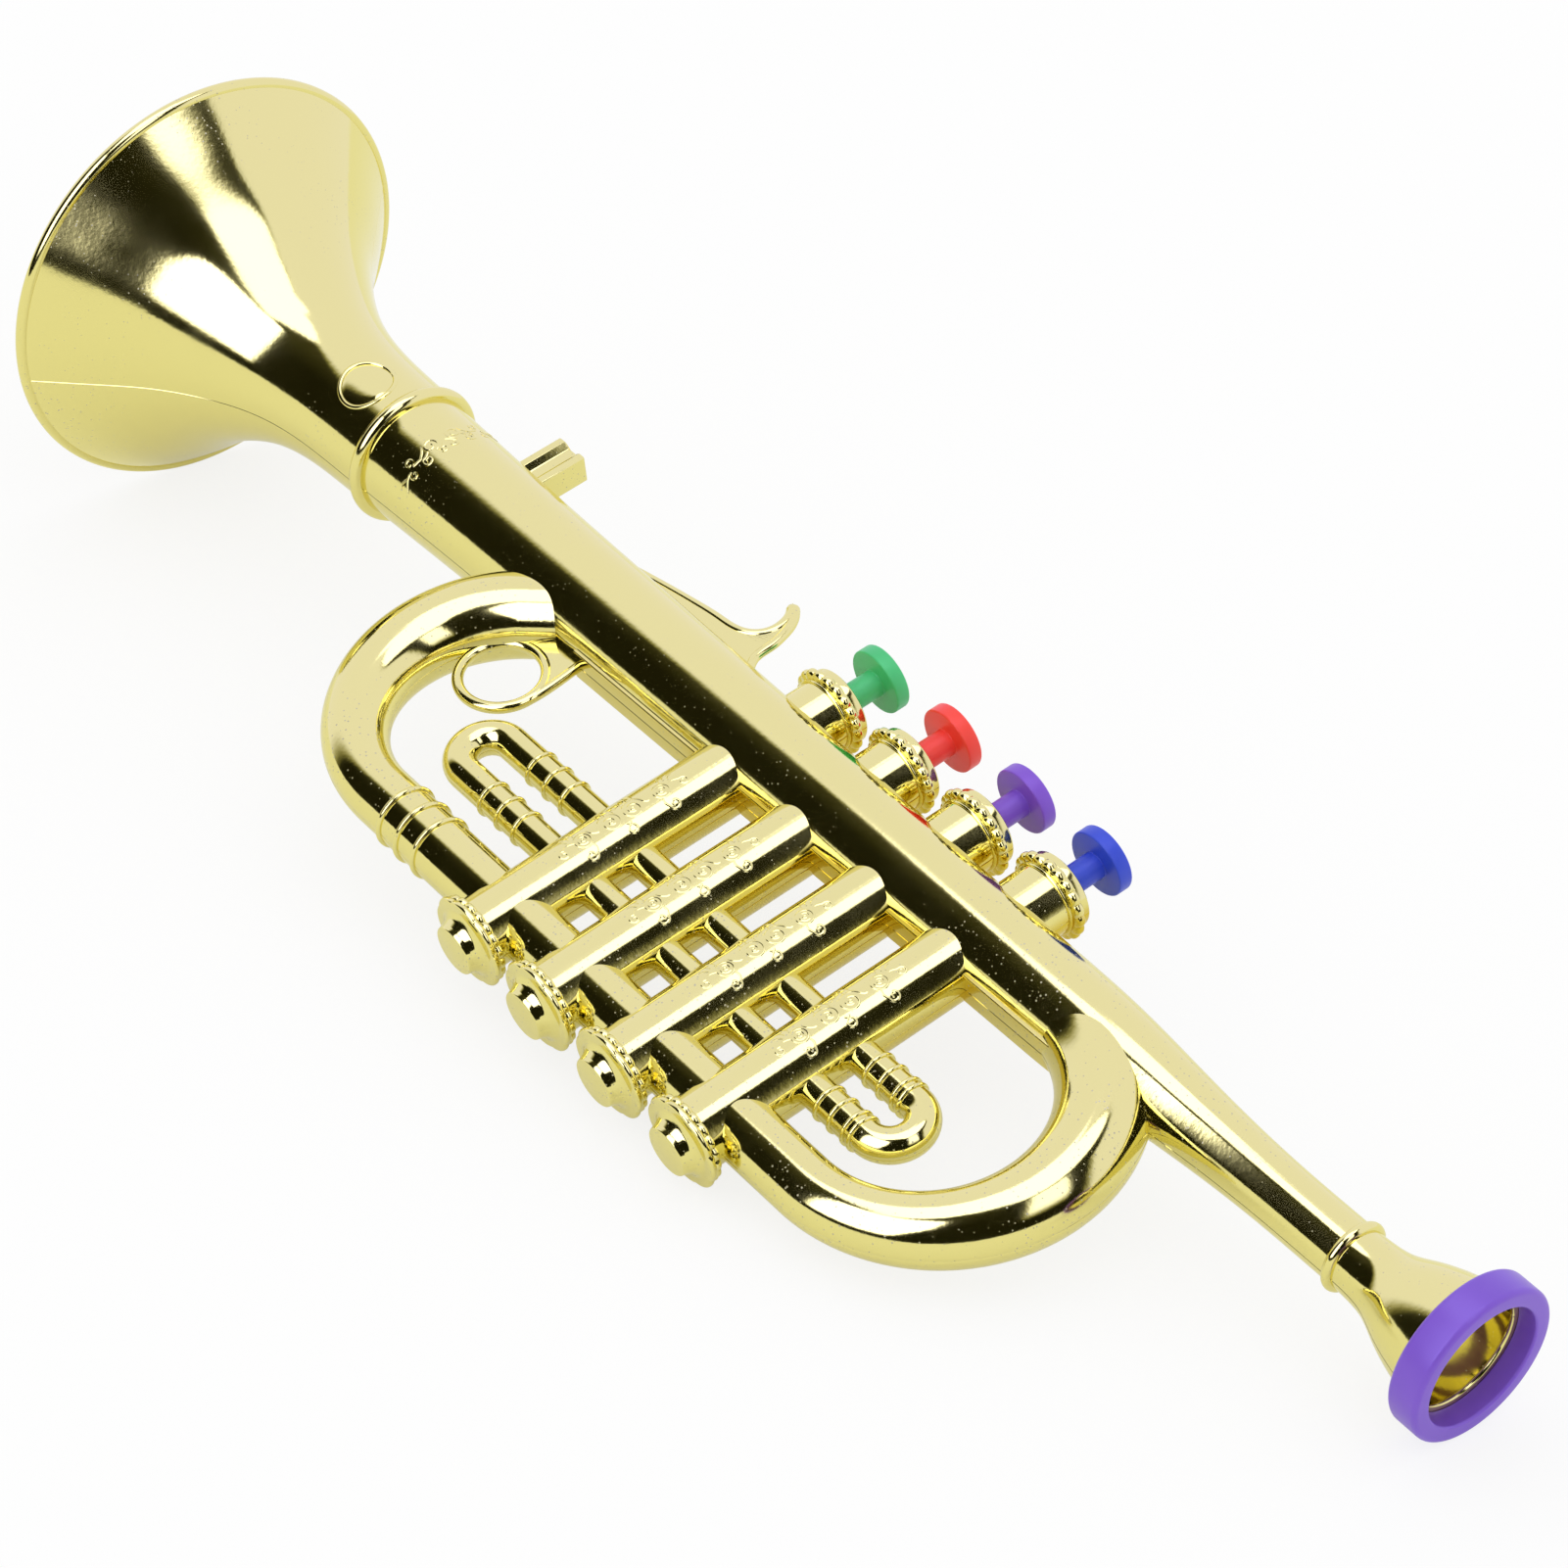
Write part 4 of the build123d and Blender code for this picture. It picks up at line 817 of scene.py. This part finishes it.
halfStrokes = [
    spiral((2.85, 0.0), 95, 1.7, 2.45, 0.45, 70), spiral((2.85, 0.1), 0, 1.0, 0.35, 0.35, 12),
    smoothCurve([(2.6, 2.45), (4.4, 2.25), (5.5, 0.9), (6.4, -0.3), (7.5, 0.3), (8.3, 1.7)], 34),
    spiral((10.2, 0), 0, 1.0, 1.85, 1.85, 44), spiral((10.2, 0), 0, 1.0, 1.05, 1.05, 30),
    spiral((10.2, 0), 0, 1.0, 0.35, 0.35, 12),
    np.concatenate([smoothCurve([(9.3, -1.7), (8.9, -2.7), (9.4, -4.1)], 14),
                    spiral((10.75, -4.1), 180, 1.15, 1.35, 0.4, 40)[1:]]),
    np.concatenate([smoothCurve([(12.1, 0.4), (13.6, 0.9), (14.9, 0.4)], 14),
                    spiral((15.5, -0.7), 120, -1.2, 1.15, 0.4, 36)[1:]]),
    smoothCurve([(13.2, 1.6), (13.9, 2.4), (14.9, 2.7)], 10),
    smoothCurve([(12.4, 2.2), (12.9, 3.2), (13.9, 3.7)], 10),
    smoothCurve([(11.2, 2.2), (11.4, 3.4), (12.1, 4.3)], 10),
    smoothCurve([(1.0, 2.0), (1.4, 3.6), (2.3, 5.1)], 14),
    smoothCurve([(4.3, 2.3), (4.3, 3.8), (3.3, 5.2)], 14),
    smoothCurve([(2.9, 2.7), (2.9, 3.8), (2.8, 5.0)], 10)]
centreStrokes = [spiral((0.0, -3.9), 90, 1.0, 0.95, 0.95, 26), spiral((0.0, 3.0), 0, 1.0, 0.5, 0.5, 16),
                 smoothCurve([(-0.6, -2.2), (0.0, -2.7), (0.6, -2.2)], 10)]
casingStrokes = mirrored(halfStrokes) + centreStrokes
for k, x in enumerate(valves["x"]):
    parts = [wirePart(stroke, casingWrap(x)) for stroke in casingStrokes]
    scroll = makePiece("goldScroll%d" % (k + 1), parts, gold)


def tubeWrap(middleX, degrees, line):
    # Places on a tube with this line of (x, radius): along is mm round from the angle, around mm along x.
    def wrap(along, around, lift):
        x = middleX + around
        r = np.interp(x, *line)
        angle = np.radians(degrees) + along / r
        return np.stack([x, (r + lift) * np.cos(angle), (r + lift) * np.sin(angle)], -1)
    return wrap


bandHalf = [
    spiral((3.2, -0.6), 100, 1.4, 2.0, 0.4, 50),
    smoothCurve([(4.9, -1.7), (6.0, -0.3), (7.3, 0.5)], 16),
    spiral((5.9, 2.1), -60, 1.25, 1.35, 0.35, 34),
    smoothCurve([(4.6, 0.3), (5.6, 0.9), (6.6, 1.0)], 12),
    spiral((9.4, -1.3), 100, 1.05, 1.25, 0.4, 34),
    smoothCurve([(6.6, 0.4), (8.0, 0.2), (9.2, 0.0)], 12),
    spiral((10.4, 1.6), -90, 1.0, 1.2, 0.35, 32),
    smoothCurve([(10.4, 0.4), (11.8, 0.5), (13.4, 1.3), (14.8, 2.3)], 22),
    smoothCurve([(12.2, 0.4), (13.6, -0.2), (15.2, -0.1)], 16),
    spiral((1.4, 2.3), 30, 1.1, 0.95, 0.35, 28),
    smoothCurve([(0.4, 0.2), (1.6, 1.1), (2.3, 2.0)], 12)]
bandWrap = tubeWrap(relief["bandX"], 90.0, np.array(tube["run"][:2]).T)
band = makePiece("goldBandScroll", [wirePart(stroke, bandWrap) for stroke in mirrored(bandHalf)], gold)

# Oval on the bell's neck: a raised wire round a slightly domed field, half sizes in mm round and along x
ovalLook = {"x": 70.9, "degrees": 98.0, "wire": (6.6, 6.2), "wireHalf": 0.5, "wireLift": 0.35,
            "wireScale": 6.0, "field": (6.1, 5.7), "rings": [0.99, 1.0, 0.97, 0.8, 0.6, 0.4, 0.2, 0.03],
            "dome": 0.30, "sink": 0.05, "root": -0.3}
neckWrap = tubeWrap(ovalLook["x"], ovalLook["degrees"], outer.T)
t = np.linspace(0, 2 * np.pi, 90, endpoint=False)
section = np.linspace(0, 2 * np.pi, 12, endpoint=False)[:, None]
reach = 1 + ovalLook["wireHalf"] * np.cos(section) / ovalLook["wireScale"]
wireAlong, wireAround = ovalLook["wire"]
ovalGrid = neckWrap(wireAlong * np.cos(t) * reach, wireAround * np.sin(t) * reach,
                    ovalLook["wireLift"] * np.sin(section) + 0 * t)
rings = np.array(ovalLook["rings"])[:, None]
fieldLift = ovalLook["dome"] * np.sqrt(np.maximum(1 - rings ** 2, 0)) - ovalLook["sink"]
fieldLift[0] = ovalLook["root"]
fieldAlong, fieldAround = ovalLook["field"]
fieldGrid = neckWrap(fieldAlong * np.cos(t) * rings, fieldAround * np.sin(t) * rings, fieldLift + 0 * t)
oval = makePiece("goldOval", [closedPart(ovalGrid, True), closedPart(fieldGrid)], gold)
print("scrollwork made")

# Keys: a round head with softened edges on a stem, over the rod that carries the pad inside
keys = {"names": ["green", "red", "purple", "blue"], "head": 7.6, "under": 30.3, "top": 33.7, "stem": 3.1,
        "shoulder": 10.6, "rod": 2.2, "rodEnd": -15.6, "edges": [0.2, 0.05, 0.2, 0.25, 0.4, 0.5]}
keyLine = roundCorners([(0, keys["rodEnd"]), (keys["rod"], keys["rodEnd"]), (keys["rod"], keys["shoulder"]),
                        (keys["stem"], keys["shoulder"]), (keys["stem"], keys["under"]),
                        (keys["head"], keys["under"]), (keys["head"], keys["top"]), (0, keys["top"])],
                       keys["edges"], 7)
for name, x in zip(keys["names"], valves["x"]):
    key = makePiece("%sKey" % name, [turnedPart(keyLine[:, ::-1], "y", (x, 0, 0), 48, seam=0)],
                    keyPlastic[name], "button_" + name)
    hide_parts("key_" + name)

# Lip ring: soft purple ring pushed over the cup's rim
lip = {"back": 414.2, "front": 421.8, "outside": 17.7, "hole": 13.7, "socket": 14.35, "socketX": 417.05,
       "flare": 15.4, "flareX": 414.9, "edges": [0.4, 1.2, 1.2, 0.6, 0.05, 0.05]}
lipLine = roundCorners([(lip["flareX"], lip["socket"]), (lip["back"], lip["flare"]),
                        (lip["back"], lip["outside"]), (lip["front"], lip["outside"]),
                        (lip["front"], lip["hole"]), (lip["socketX"], lip["hole"]),
                        (lip["socketX"], lip["socket"]), (lip["flareX"], lip["socket"])],
                       lip["edges"], 8)[:-1]
lipRing = makePiece("purpleLipRing", [turnedPart(lipLine, "x", (0, 0, 0), 72, True, 0)], ringPlastic)
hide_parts("lip_ring")
print("keys and lip ring made")

# Key springs: steel helices at their rest length
spring = {"wire": 0.35, "radius": 4.1, "turns": 6, "low": -39.65, "high": -9.45, "travel": 8.0}
for name, x, joint in zip(keys["names"], valves["x"], frame["joints"]):
    a = np.linspace(0, 2 * np.pi * spring["turns"], 40 * spring["turns"])
    rise = (spring["high"] - spring["low"]) / a[-1]
    outward = np.stack([np.cos(a), 0 * a, np.sin(a)], 1)
    middle = np.array([x, spring["low"], 0]) + spring["radius"] * outward
    middle[:, 1] += rise * a
    way = unit(np.stack([-spring["radius"] * np.sin(a), rise + 0 * a, spring["radius"] * np.cos(a)], 1))
    third = np.cross(way, outward)
    s = np.linspace(0, 2 * np.pi, 10, endpoint=False)
    grid = middle[:, None] + spring["wire"] * (outward[:, None] * np.cos(s)[None, :, None]
                                              + third[:, None] * np.sin(s)[None, :, None])
    coil = makePiece("%sKeySpring" % name, [closedPart(grid)], plainSteel)
    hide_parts("spring_" + name)
    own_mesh(coil)

# Inner pieces keep their solids and take their real finishes
finishes = {"port_plate": whitePlastic, "reed_block": whitePlastic, "block_gasket": darkRubber}
for name in keys["names"]:
    finishes.update({"reed_" + name: rolledBrass, "reed_rivet_" + name: plainSteel,
                     "valve_pad_" + name: darkRubber, "key_foot_" + name: whitePlastic})
for node, material in finishes.items():
    solid = frame["nodes"][node]
    solid.data.materials.clear()
    solid.data.materials.append(material)
print("inner pieces finished")
